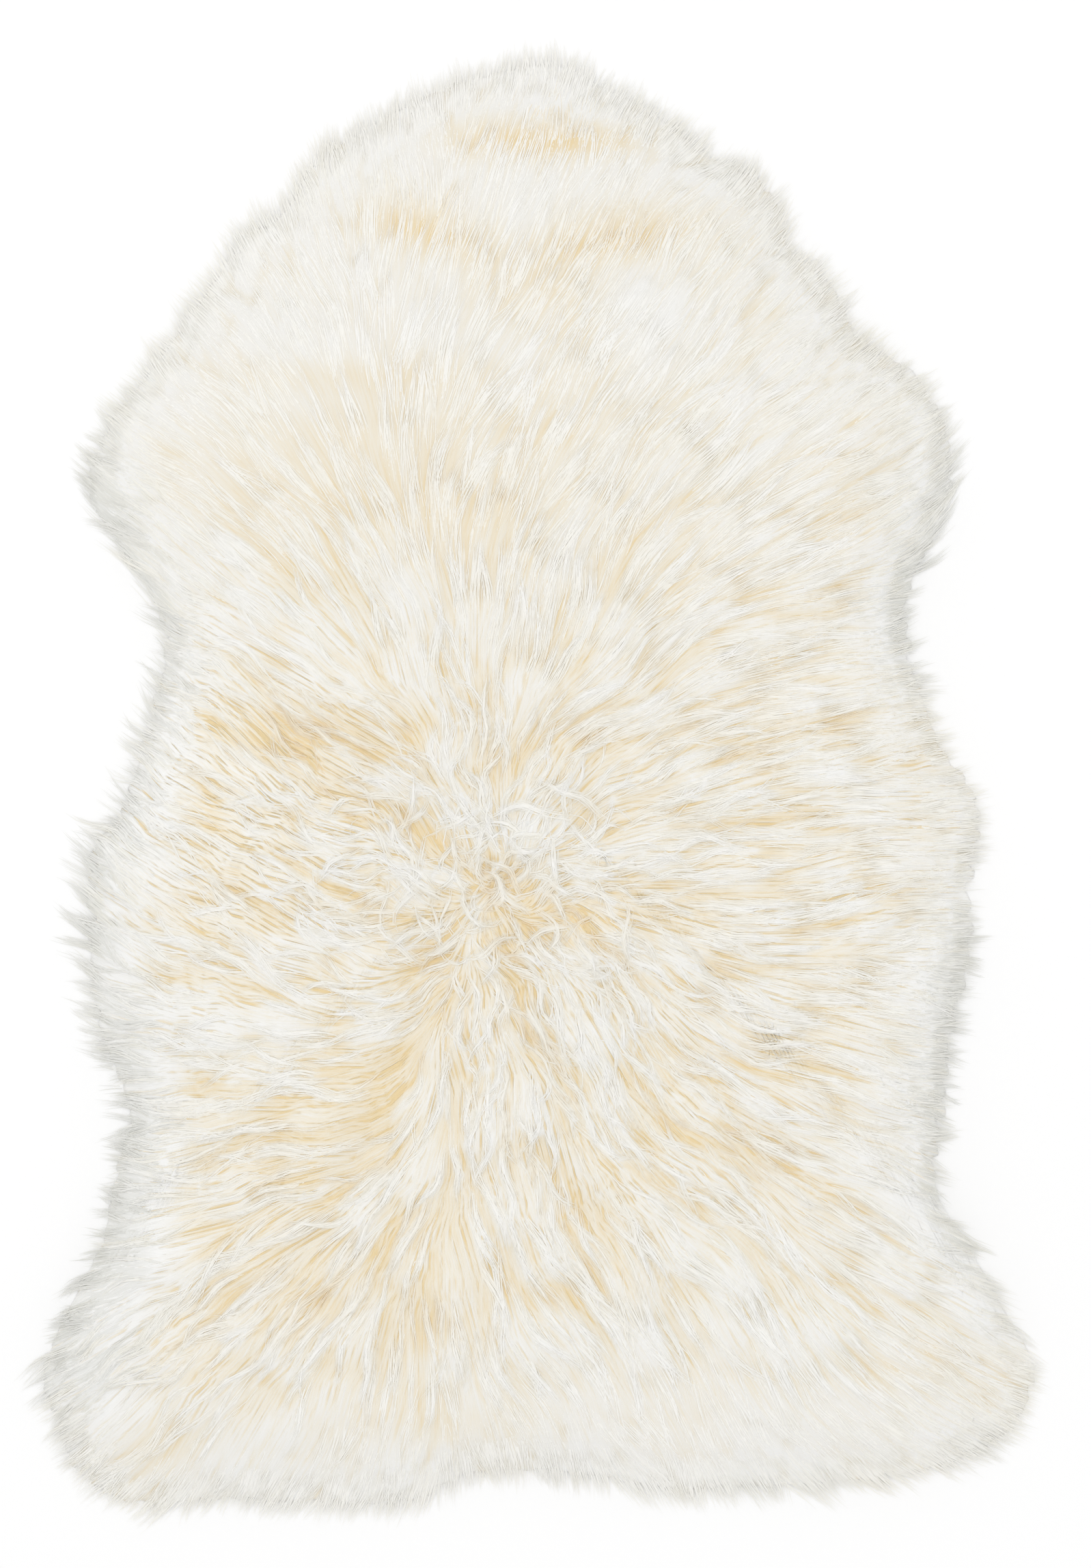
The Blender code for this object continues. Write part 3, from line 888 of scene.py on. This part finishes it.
def makeHairs():
    # fine strands on the locks, with more of them at the rim and where the wool is wavy or curly
    rootX, rootY = scatter(hairs["pitch"], hairs["jitter"], hairs["inset"])
    plush, wavy, curly = kindsAt(rootX, rootY)
    chance = ofWool(hairs["share"], [plush])
    chance = chance + (1 - chance) * np.maximum(curly, wavy) * (1 - plush)
    outward = np.clip(1 - insideAt(rootX, rootY) / hairs["denseRim"], 0, 1)
    chance = blend(chance, 1, outward)
    place = gridPlace(rootX, rootY)
    own = ownerField[place]
    left = (hairs["ends"][0] - alongField[place]) * lay["length"][own]
    left = np.maximum(left, 0.5 * lay["length"][own])
    chosen = (own >= 0) & (left > hairs["shortest"]) & (dice.uniform(0, 1, len(chance)) < chance)
    rootX, rootY = rootX[chosen], rootY[chosen]
    order = np.argsort(-rootY, kind="stable")
    rootX, rootY = rootX[order], rootY[order]
    plush, wavy, curly = kindsAt(rootX, rootY)
    plain = np.full_like(plush, hairs["combedFrom"])
    most = np.argmax(np.stack([plush, plain, wavy * hairs["wavyShare"], curly]), axis=0)
    pieces = []
    for number, (kind, stations, parts) in enumerate(hairs["kinds"]):
        chosen = np.flatnonzero(most == number)
        for k, part in enumerate(np.array_split(chosen, parts)):
            name = "hairs_" + kind + ("" if parts == 1 else "_" + "ab"[k])
            pieces.append(addHairs(name, rootX[part], rootY[part], stations))
            print(name, len(part), "hairs")
    return pieces


def addHairs(name, rootX, rootY, stations):
    # each hair runs along the lock on which its root lies. its distance from the lock's path
    # shrinks by a power of the way gone, and its own straying grows by another
    count = len(rootX)
    place = gridPlace(rootX, rootY)
    own, rootShare = ownerField[place], alongField[place][:, None]
    kinds = lay["kinds"][:, own, None]
    plush, wavy, curly = kinds
    reach = ofWool(hairs["length"], [curly]) * dice.uniform(*hairs["lengthSpread"], (count, 1))
    reach = reach / lay["length"][own][:, None]
    end = np.minimum(rootShare + reach, dice.uniform(*hairs["ends"], (count, 1)))
    begin = np.maximum(end - reach, 0.0)
    t = np.linspace(0, 1, stations + 1)[None]
    x, y = alongLocks(own, blend(begin, end, t))
    besideX, besideY = alongLocks(own, rootShare)
    rimShare, rimReach = hairs["clumpRim"]
    clump = np.clip(rimShare + insideAt(rootX, rootY) / rimReach, 0, 1)[:, None]
    spread = 1 - ofWool(hairs["clump"], kinds) * clump * t ** hairs["clumpPower"]
    stray = dice.normal(0, 1, (2, count, 1)) * hairs["stray"] * t ** hairs["strayPower"]
    x = x + (rootX[:, None] - besideX) * spread + stray[0]
    y = y + (rootY[:, None] - besideY) * spread + stray[1]

    lift = ofWool(hairs["lift"], [plush, np.maximum(curly, 0.5 * wavy)])
    climb = 1 - (1 - np.clip(t / hairs["climb"], 0, 1)) ** 2
    lift = lift * dice.uniform(*hairs["liftSpread"], (count, 1)) * (climb - hairs["sunk"])
    z = innerTop(x, y) + lift + hairs["clear"]
    thin, more, tip = hairs["taper"]
    taper = (thin + more * np.sin(math.pi * t)) * (1 - t**2) + tip
    widths = hairs["width"] * dice.uniform(*hairs["widthSpread"], (count, 1)) * taper

    tone = baseTone(rootX, rootY) + lay["tone"][own] + dice.normal(0, hairs["toneSpread"], count)
    golden = mask("golden", rootX, rootY)
    calm = 1 - hairs["calm"] * mask("plush", rootX, rootY) * (1 - golden)
    least, most = hairs["toneRange"]
    # painted shade: the hairs may go grey where the rim's shade is painted
    tone = np.clip(tone, least * (1 - paintedShade(rootX, rootY)), most) * calm
    golden = golden[:, None]
    along = readField(paleField, x, y) + hairs["tipPale"] * t
    along = along + dice.normal(0, hairs["toneSpread"], (count, 1))
    # painted shade: nearer the root colour where the hair lies in creases and hollows
    crease = np.clip(readField(creaseField, x, y) + 0.1, 0, hairs["deepest"])
    hollow = np.clip(readField(hollowField, x, y), 0, hairs["deepest"])
    along = along - hairs["crease"] * crease - hairs["hollow"] * hollow
    along = along * (1 - hairs["golden"][0] * golden) - hairs["golden"][1] * golden
    path = np.stack([x, y, z], axis=2)
    roll = dice.normal(0, hairs["roll"], count)
    return carry(name, path, widths, roll, tone, paled(along, rootX, rootY))


lockPieces = makeHairs()


def edgeReach(angles, inset):
    # how far the line that lies this far inside the outline is from the middle, at each angle
    shares = np.linspace(0, 1, ground["reachSteps"])
    far = ground["reach"] * shares[None, :]
    x, y = far * np.cos(angles)[:, None], far * np.sin(angles)[:, None]
    clear = insideAt(x, y) > inset
    last = clear.shape[1] - 1 - clear[:, ::-1].argmax(1)
    reach = ground["reach"] * shares[last]
    for _ in range(6):
        reach = (np.roll(reach, 1) + 2 * reach + np.roll(reach, -1)) / 4
    return reach


def addSurface(name, points, faces, smooth=True):
    mesh = bpy.data.meshes.new(name)
    mesh.from_pydata((points * mm).tolist(), [], faces)
    mesh.polygons.foreach_set("use_smooth", np.full(len(mesh.polygons), smooth))
    mesh.update()
    return addPiece(name, mesh)


def keepAtPoints(piece, name, kind, field, values):
    # values for the material at each point
    attribute = piece.data.attributes.new(name, kind, "POINT")
    attribute.data.foreach_set(field, values.astype(np.float32).ravel())


skin = {
    "inset": 30.0,
    "thickness": 2.0,
    "edge": 0.5,  # of the rounding of its cut edge
    "edgeShare": 0.00125,  # the same as a share of the way from the middle
    "round": 160,
    "rings": 6,
}


def makeUndercoat():
    # the dense inner wool. its top is a rectangle of square cells drawn out to the rim: each
    # point keeps its direction from the middle, and its share of the way to the rectangle's side
    # becomes its share of the way to the rim. below, rings of the rim's points run in under it
    across, along = under["cellsAcross"], under["cellsAlong"]
    u, v = np.meshgrid(np.linspace(-1, 1, across + 1), np.linspace(-1, 1, along + 1))
    share = np.maximum(abs(u), abs(v)).ravel()
    angles = np.arctan2((v * along).ravel(), (u * across).ravel())
    number = np.arange((across + 1) * (along + 1)).reshape(along + 1, across + 1)
    loop = np.concatenate([number[0, :-1], number[:-1, -1], number[-1, :0:-1], number[:0:-1, 0]])
    reach = edgeReach(angles[loop], under["inset"])
    cosine, sine = np.cos(angles[loop]), np.sin(angles[loop])
    reach = reach - under["insetWispy"] * blot(reach * cosine, reach * sine, *under["wispy"])
    rimX, rimY = reach * cosine, reach * sine
    notches = mixed(under["notchMix"], ripples(rimX, rimY, under["notchWidth"], seed=31))
    deep = under["notch"] * (1 - under["notchPlush"] * mask("plush", rimX, rimY))
    reach = reach - deep * np.clip(notches, 0, 1.5)
    order = np.argsort(angles[loop])
    around = np.interp(angles, angles[loop][order], reach[order], period=2 * math.pi)
    x, y = share * around * np.cos(angles), share * around * np.sin(angles)
    top = np.stack([x, y, innerTop(x, y)], axis=1)

    # on the floor round the hide, up to its top, and in over it to the middle
    hideReach = edgeReach(angles[loop], skin["inset"])
    rings = (
        (hideReach + 2 * under["gap"], "floor"), (hideReach + under["gap"], "foot"),
        (0.4 * hideReach, "foot"),
    )
    lower = [top[loop] * (1, 1, 0) + (0, 0, under["floor"])]
    lower += [
        np.stack([far * cosine, far * sine, np.full(len(far), under[level])], axis=1)
        for far, level in rings
    ]
    points = np.vstack([top, *lower, [[0, 0, under["foot"]]]])
    cells = [number[:-1, :-1], number[:-1, 1:], number[1:, 1:], number[1:, :-1]]
    faces = np.stack(cells, axis=2).reshape(-1, 4).tolist()
    below = [len(top) + k * len(loop) + np.arange(len(loop)) for k in range(len(lower))]
    for outer, inner in zip([loop, *below], below):
        sides = [outer, inner, np.roll(inner, -1), np.roll(outer, -1)]
        faces += np.stack(sides, axis=1).tolist()
    pole = np.full(len(loop), len(points) - 1)
    faces += np.stack([below[-1], pole, np.roll(below[-1], -1)], axis=1).tolist()

    piece = addSurface("undercoat", points, faces)
    x, y = points[:, 0], points[:, 1]
    heading = combHeading(x, y)
    flow = np.stack([np.cos(heading), np.sin(heading), 0 * heading], axis=1)
    keepAtPoints(piece, "flow", "FLOAT_VECTOR", "vector", flow)
    keepAtPoints(piece, "strength", "FLOAT", "value", streakStrength(x, y))
    keepAtPoints(piece, "warmth", "FLOAT", "value", innerWarmth(x, y))
    return piece


def innerWarmth(x, y):
    # 0 is the grey of painted shade, 0.3 is white and 1 is golden: a power of how dark the locks
    # are, less where the wool is pale and on bright crests, which is partly painted light, more in
    # golden spots, more in hollows and creases as painted shade, and whiter near the rim as painted
    # light
    plush, wavy, curly = kindsAt(x, y)
    pale = readField(paleField, x, y)
    root = under["root"] * (1 - pale) ** under["rootPower"]
    warm = under["white"] + root * (1 - under["paled"] * paleness(x, y))
    bright = np.maximum(wavy, np.maximum(mask("streaky", x, y), curly)) * (1 - plush)
    # partly painted light: whiter on the crests of the locks
    warm = warm - under["crest"] * bright * np.clip(4 * pale - 3, 0, 1)
    # painted shade: warmer in hollows and creases
    deep = np.clip(readField(hollowField, x, y), -0.8, 1.5) * (1 - under["hollowPlush"] * plush)
    crease = np.clip(readField(creaseField, x, y), -0.4, 1.5)
    warm = warm + under["hollow"] * deep + under["crease"] * crease
    warm = warm + under["drift"] * ripples(x, y, tones["driftSize"], seed=5)
    warm = warm + mixed(under["golden"], plush) * mask("golden", x, y)
    # painted light: whiter near the rim, so that the shade on its slope shows less
    warm = warm - under["rim"] * nearRim(x, y, under["rimReach"])
    return np.clip(warm * (1 - tones["greyed"] * paintedShade(x, y)), 0.0, 1.0)


undercoat = makeUndercoat()
print("undercoat made")


def roundFaces(rings, count):
    # quads between neighbouring rings, fans to a pole before the first and after the last
    ring = np.arange(rings - 1)[:, None] * count
    here = np.arange(count)[None]
    ahead = (here + 1) % count
    sides = [ring + here, ring + here + count, ring + ahead + count, ring + ahead]
    faces = np.stack(sides, axis=2).reshape(-1, 4).tolist()
    first, last = rings * count, rings * count + 1
    low = (rings - 1) * count
    faces += [(first, k, (k + 1) % count) for k in range(count)]
    faces += [(last, low + (k + 1) % count, low + k) for k in range(count)]
    return faces


def makeHide():
    # a flat skin with an uneven cut edge: rings at shares of the way to the line inside the
    # outline run outwards on top, round the edge, and back inwards below
    angles = np.arange(skin["round"]) / skin["round"] * 2 * math.pi
    reach = edgeReach(angles, skin["inset"])
    outward = np.linspace(0, 1, skin["rings"] + 1)[1:]
    edgeIn = 1 - skin["edgeShare"]
    shares = np.concatenate([outward[:-1], [edgeIn, 1.0, 1.0, edgeIn], outward[-2::-1]])
    x = shares[:, None] * reach * np.cos(angles)
    y = shares[:, None] * reach * np.sin(angles)
    z = np.full(x.shape, skin["thickness"])
    z[skin["rings"]] -= skin["edge"]
    z[skin["rings"] + 1] = skin["edge"]
    z[skin["rings"] + 2:] = 0.0
    points = np.stack([x.ravel(), y.ravel(), z.ravel()], axis=1)
    points = np.vstack([points, [0, 0, skin["thickness"]], [0, 0, 0.0]])
    return addSurface("hide_skin", points, roundFaces(len(shares), skin["round"]))


hideSkin = makeHide()
print("hide made")


class Wire:
    # a value in a material: sums and products of wires become its Math nodes
    def __init__(self, tree, socket=None):
        self.tree = tree
        self.socket = socket

    def node(self, kind, settings=None, inputs=None, output=0):
        made = self.tree.nodes.new(kind)
        for name, value in (settings or {}).items():
            if name == "stops":
                for stop in list(made.color_ramp.elements)[1:]:
                    made.color_ramp.elements.remove(stop)
                made.color_ramp.elements[0].position = value[0][0]
                made.color_ramp.elements[0].color = (*value[0][1], 1)
                for place, colour in value[1:]:
                    made.color_ramp.elements.new(place).color = (*colour, 1)
            elif name == "easing":
                made.color_ramp.interpolation = value
            else:
                setattr(made, name, value)
        for name, value in (inputs or {}).items():
            if isinstance(value, Wire):
                self.tree.links.new(value.socket, made.inputs[name])
            else:
                made.inputs[name].default_value = value
        return Wire(self.tree, made.outputs[output])

    def math(self, operation, first, second):
        return self.node("ShaderNodeMath", {"operation": operation}, {0: first, 1: second})

    def __add__(self, other):
        return self.math("ADD", self, other)

    def __sub__(self, other):
        return self.math("SUBTRACT", self, other)

    def __rsub__(self, other):
        return self.math("SUBTRACT", other, self)

    def __mul__(self, other):
        return self.math("MULTIPLY", self, other)

    __radd__ = __add__
    __rmul__ = __mul__

    def share(self, low, high):
        # the share of the way from low to high
        inputs = {"Value": self, "From Min": low, "From Max": high}
        return self.node("ShaderNodeMapRange", {"data_type": "FLOAT", "clamp": True}, inputs)

    def between(self, low, high):
        # low where this is 0 and high where it is 1
        return self * (high - low) + low

    def scaled(self, factor):
        return self.node("ShaderNodeVectorMath", {"operation": "SCALE"}, {0: self, "Scale": factor})

    def mix(self, first, second):
        settings = {"data_type": "RGBA"}
        return self.node("ShaderNodeMix", settings, {0: self, 6: first, 7: second}, 2)

    def ramp(self, stops, **settings):
        return self.node("ShaderNodeValToRGB", {"stops": stops, **settings}, {"Fac": self})

    def noise(self, scale, detail):
        inputs = {"Vector": self, "Scale": scale, "Detail": detail}
        return self.node("ShaderNodeTexNoise", inputs=inputs)

    def parts(self):
        # the first two of its three numbers
        inputs = {"Vector": self}
        return [self.node("ShaderNodeSeparateXYZ", inputs=inputs, output=k) for k in (0, 1)]

    def bump(self, strength, distance):
        inputs = {"Height": self, "Strength": strength, "Distance": distance}
        return self.node("ShaderNodeBump", inputs=inputs)


def newMaterial(name, uniform):
    # what is the same all over the surface is set on the shader itself
    material = bpy.data.materials.new(name)
    material.use_nodes = True
    shader = material.node_tree.nodes["Principled BSDF"]
    for socket, value in uniform.items():
        shader.inputs[socket].default_value = value
    return material, Wire(material.node_tree), shader


def feed(start, shader, links):
    for socket, wire in links.items():
        start.tree.links.new(wire.socket, shader.inputs[socket])


strandFinish = {
    # root to tip, for each kind of wool; the grey is painted shade for the rim's slopes
    "grey": ((0.0, (0.73, 0.715, 0.67)), (0.5, (0.73, 0.73, 0.69)), (1.0, (0.78, 0.78, 0.75))),
    "white": (
        (0.0, (0.87, 0.80, 0.66)), (0.35, (0.882, 0.855, 0.775)), (0.65, (0.91, 0.895, 0.835)),
        (1.0, (0.925, 0.917, 0.89)),
    ),
    "golden": (
        (0.0, (0.84, 0.685, 0.45)), (0.35, (0.87, 0.775, 0.60)), (0.65, (0.905, 0.865, 0.77)),
        (1.0, (0.92, 0.907, 0.865)),
    ),
    "whiteTone": 0.3,
    "streakScale": (110.0, 2.6, 1.0),
    "shade": (0.97, 1.03),
    "roughness": (0.7, 0.9),
    "bump": (0.25, 0.0004),  # strength, and height in metres
    "uniform": {"Specular IOR Level": 0.3, "Sheen Weight": 0.25, "Sheen Roughness": 0.5},
}


def woolMaterial():
    # each strand's own streaks are a noise stretched along it, and its colour goes from the grey of
    # painted shade over white to golden by its tone
    material, start, shader = newMaterial("combed wool", strandFinish["uniform"])
    uv = start.node("ShaderNodeUVMap", {"uv_map": "OFBake"})
    tone, along = uv.parts()
    scale = {"Vector": uv, "Scale": strandFinish["streakScale"]}
    streak = start.node("ShaderNodeMapping", inputs=scale).noise(1.0, 2.0)
    grey, white, golden = (
        along.ramp(strandFinish[kind], easing="EASE") for kind in ("grey", "white", "golden")
    )
    colour = tone.share(0.0, strandFinish["whiteTone"]).mix(grey, white)
    colour = tone.share(strandFinish["whiteTone"], 1.0).mix(colour, golden)
    feed(start, shader, {
        "Base Color": colour.scaled(streak.between(*strandFinish["shade"])),
        "Roughness": streak.between(*strandFinish["roughness"]),
        "Normal": streak.bump(*strandFinish["bump"]),
    })
    return material


innerFinish = {
    # from the grey of painted shade at 0, over white, to golden at 1
    "colours": (
        (0.0, (0.73, 0.73, 0.69)), (0.16, (0.915, 0.912, 0.895)), (0.32, (0.885, 0.87, 0.825)),
        (0.5, (0.87, 0.817, 0.70)), (0.75, (0.848, 0.742, 0.55)), (1.0, (0.84, 0.67, 0.39)),
    ),
    "directions": 24,  # round the full turn
    "apart": 7.3,  # between the noises of neighbouring directions
    "fine": (880.0, 24.0),  # strands a metre across and along the comb
    "coarse": (520.0, 17.0),
    "steady": (0.6, 0.97),  # length of the flow where the streaks start, and where they are full
    "gap": (0.02, 0.17),  # how dark a coarse streak is where a gap starts, and where it is full
    # painted shade with golden inner wool: how much warmer a gap is
    "gapTone": 0.9,
    "streakTone": (0.55, 2.55),  # in plain wool, and in the streaky
    "shade": (0.94, 1.03),
    "relief": (0.45, 1.05),
    "roughness": (0.75, 0.95),
    "bump": (0.85, 0.001),
    "uniform": {"Specular IOR Level": 0.2, "Sheen Weight": 0.2},
}


def combedStreaks(start, size):
    # strands along the comb: a noise stretched along a fixed direction, blended between the two
    # of a fan of fixed directions that are nearest to the comb at each place
    x, y = start.node("ShaderNodeTexCoord", output="Object").parts()
    flow = start.node("ShaderNodeAttribute", {"attribute_name": "flow"}, output="Vector")
    flowX, flowY = flow.parts()
    step = 2 * math.pi / innerFinish["directions"]
    angle = flowY.math("ARCTAN2", flowY, flowX) * (1 / step)
    low = angle.math("FLOOR", angle, 0.0)
    noises = []
    for number in (low, low + 1.0):
        turn = number * step
        cosine, sine = turn.math("COSINE", turn, 0.0), turn.math("SINE", turn, 0.0)
        along = (x * cosine + y * sine) * innerFinish[size][1]
        across = (y * cosine - x * sine) * innerFinish[size][0]
        way = number.math("FLOORED_MODULO", number, float(innerFinish["directions"]))
        spot = {"X": along, "Y": across, "Z": way * innerFinish["apart"]}
        noises.append(start.node("ShaderNodeCombineXYZ", inputs=spot).noise(1.0, 2.0))
    share = angle - low
    streak = noises[0] * (1.0 - share) + noises[1] * share
    # plain where the comb turns right round, because the flow is short there
    steady = (flowX * flowX + flowY * flowY).share(*innerFinish["steady"])
    return (streak - 0.5) * steady + 0.5


def undercoatMaterial():
    # warmer between the fine streaks and in the gaps between the coarse ones, where the bump lies
    # low: golden inner wool, with painted shade
    material, start, shader = newMaterial("inner wool", innerFinish["uniform"])
    streak, line = combedStreaks(start, "fine"), combedStreaks(start, "coarse")
    warmth, strength = (
        start.node("ShaderNodeAttribute", {"attribute_name": name}, output="Fac")
        for name in ("warmth", "strength")
    )
    # painted shade over golden inner wool: the gaps are warmer and lower
    gap = (0.5 - line).share(*innerFinish["gap"]) * strength
    tone = warmth + (0.5 - streak) * warmth * strength.between(*innerFinish["streakTone"])
    colour = (tone + gap * innerFinish["gapTone"]).ramp(innerFinish["colours"])
    height = (streak - gap) * strength.between(*innerFinish["relief"])
    feed(start, shader, {
        "Base Color": colour.scaled(strength.between(*innerFinish["shade"])),
        "Roughness": streak.between(*innerFinish["roughness"]),
        "Normal": height.bump(*innerFinish["bump"]),
    })
    return material


suedeFinish = {
    "colours": ((0.66, 0.53, 0.38, 1), (0.82, 0.72, 0.57, 1)),
    "nap": (900.0, 4.0),  # scale and detail
    "patches": (9.0, 4.0),
    "grain": 260.0,
    "shade": (0.9, 1.1),
    "roughness": (0.75, 0.95),
    "height": (0.6, 0.4),  # of the nap and of the grain
    "bump": (0.5, 0.0006),
    "uniform": {"Specular IOR Level": 0.25, "Sheen Weight": 0.3, "Sheen Roughness": 0.6},
}


def suedeMaterial():
    # buff patches under a fine nap, with a cell pattern for the grain
    material, start, shader = newMaterial("tanned suede", suedeFinish["uniform"])
    place = start.node("ShaderNodeTexCoord", output="Object")
    nap, patch = place.noise(*suedeFinish["nap"]), place.noise(*suedeFinish["patches"])
    cells = {"Vector": place, "Scale": suedeFinish["grain"]}
    grain = start.node("ShaderNodeTexVoronoi", inputs=cells)
    height = nap * suedeFinish["height"][0] + grain * suedeFinish["height"][1]
    colour = patch.mix(*suedeFinish["colours"])
    feed(start, shader, {
        "Base Color": colour.scaled(nap.between(*suedeFinish["shade"])),
        "Roughness": nap.between(*suedeFinish["roughness"]),
        "Normal": height.bump(*suedeFinish["bump"]),
    })
    return material


strandWool, innerWool, suede = woolMaterial(), undercoatMaterial(), suedeMaterial()
print("materials ready")

for piece in lockPieces:
    piece.data.materials.append(strandWool)
    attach(piece, "root")
undercoat.data.materials.append(innerWool)
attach(undercoat, "root")
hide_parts("fleece")
hideSkin.data.materials.append(suede)
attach(hideSkin, "root")
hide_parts("hide")

# in metres
studio = {
    "floorSize": 6.0,
    "floorFinish": {
        "Base Color": (0.97, 0.97, 0.97, 1), "Roughness": 0.9, "Specular IOR Level": 0.0,
    },
    "viewHeight": 1.0683,  # of the picture, at the height of the wool
    "viewMiddle": (0.0051, 0.0002),
    "cameraHeight": 4.0,
    "woolLevel": 0.02,
    "world": 0.9,
    # name, place, size and power
    "lamps": (("key", (-1.4, 1.2, 2.6), 2.2, 14.0), ("fill", (1.6, -0.6, 2.4), 2.4, 6.0)),
    "bounces": 12,
}


def makeStudio():
    # a pale floor, two broad soft lamps, even light all round and a camera straight above
    half = studio["floorSize"] / 2
    corners = np.array([[-half, -half, 0], [half, -half, 0], [half, half, 0], [-half, half, 0]])
    floor = addSurface("floor", corners / mm, [(0, 1, 2, 3)], smooth=False)
    floor.data.materials.append(newMaterial("pale floor", studio["floorFinish"])[0])

    scene = bpy.context.scene
    scene.world = bpy.data.worlds.new("studio")
    scene.world.use_nodes = True
    sky = scene.world.node_tree.nodes["Background"]
    sky.inputs["Strength"].default_value = studio["world"]
    sky.inputs["Color"].default_value = (1, 1, 1, 1)

    for name, place, size, power in studio["lamps"]:
        lamp = bpy.data.lights.new(name, "AREA")
        lamp.size = size
        lamp.energy = power
        holder = addPiece(name, lamp)
        holder.location = place
        holder.rotation_euler = (-Vector(place)).to_track_quat("-Z", "Y").to_euler()

    lens = bpy.data.cameras.new("camera")
    lens.sensor_fit = "VERTICAL"
    lens.sensor_height = 24.0
    lens.lens = lens.sensor_height * studio["cameraHeight"] / studio["viewHeight"]
    lens.clip_end = 50.0
    scene.camera = addPiece("camera", lens)
    scene.camera.location = (*studio["viewMiddle"], studio["cameraHeight"] + studio["woolLevel"])
    scene.view_settings.view_transform = "Standard"
    scene.cycles.diffuse_bounces = studio["bounces"]


makeStudio()
print("studio ready")
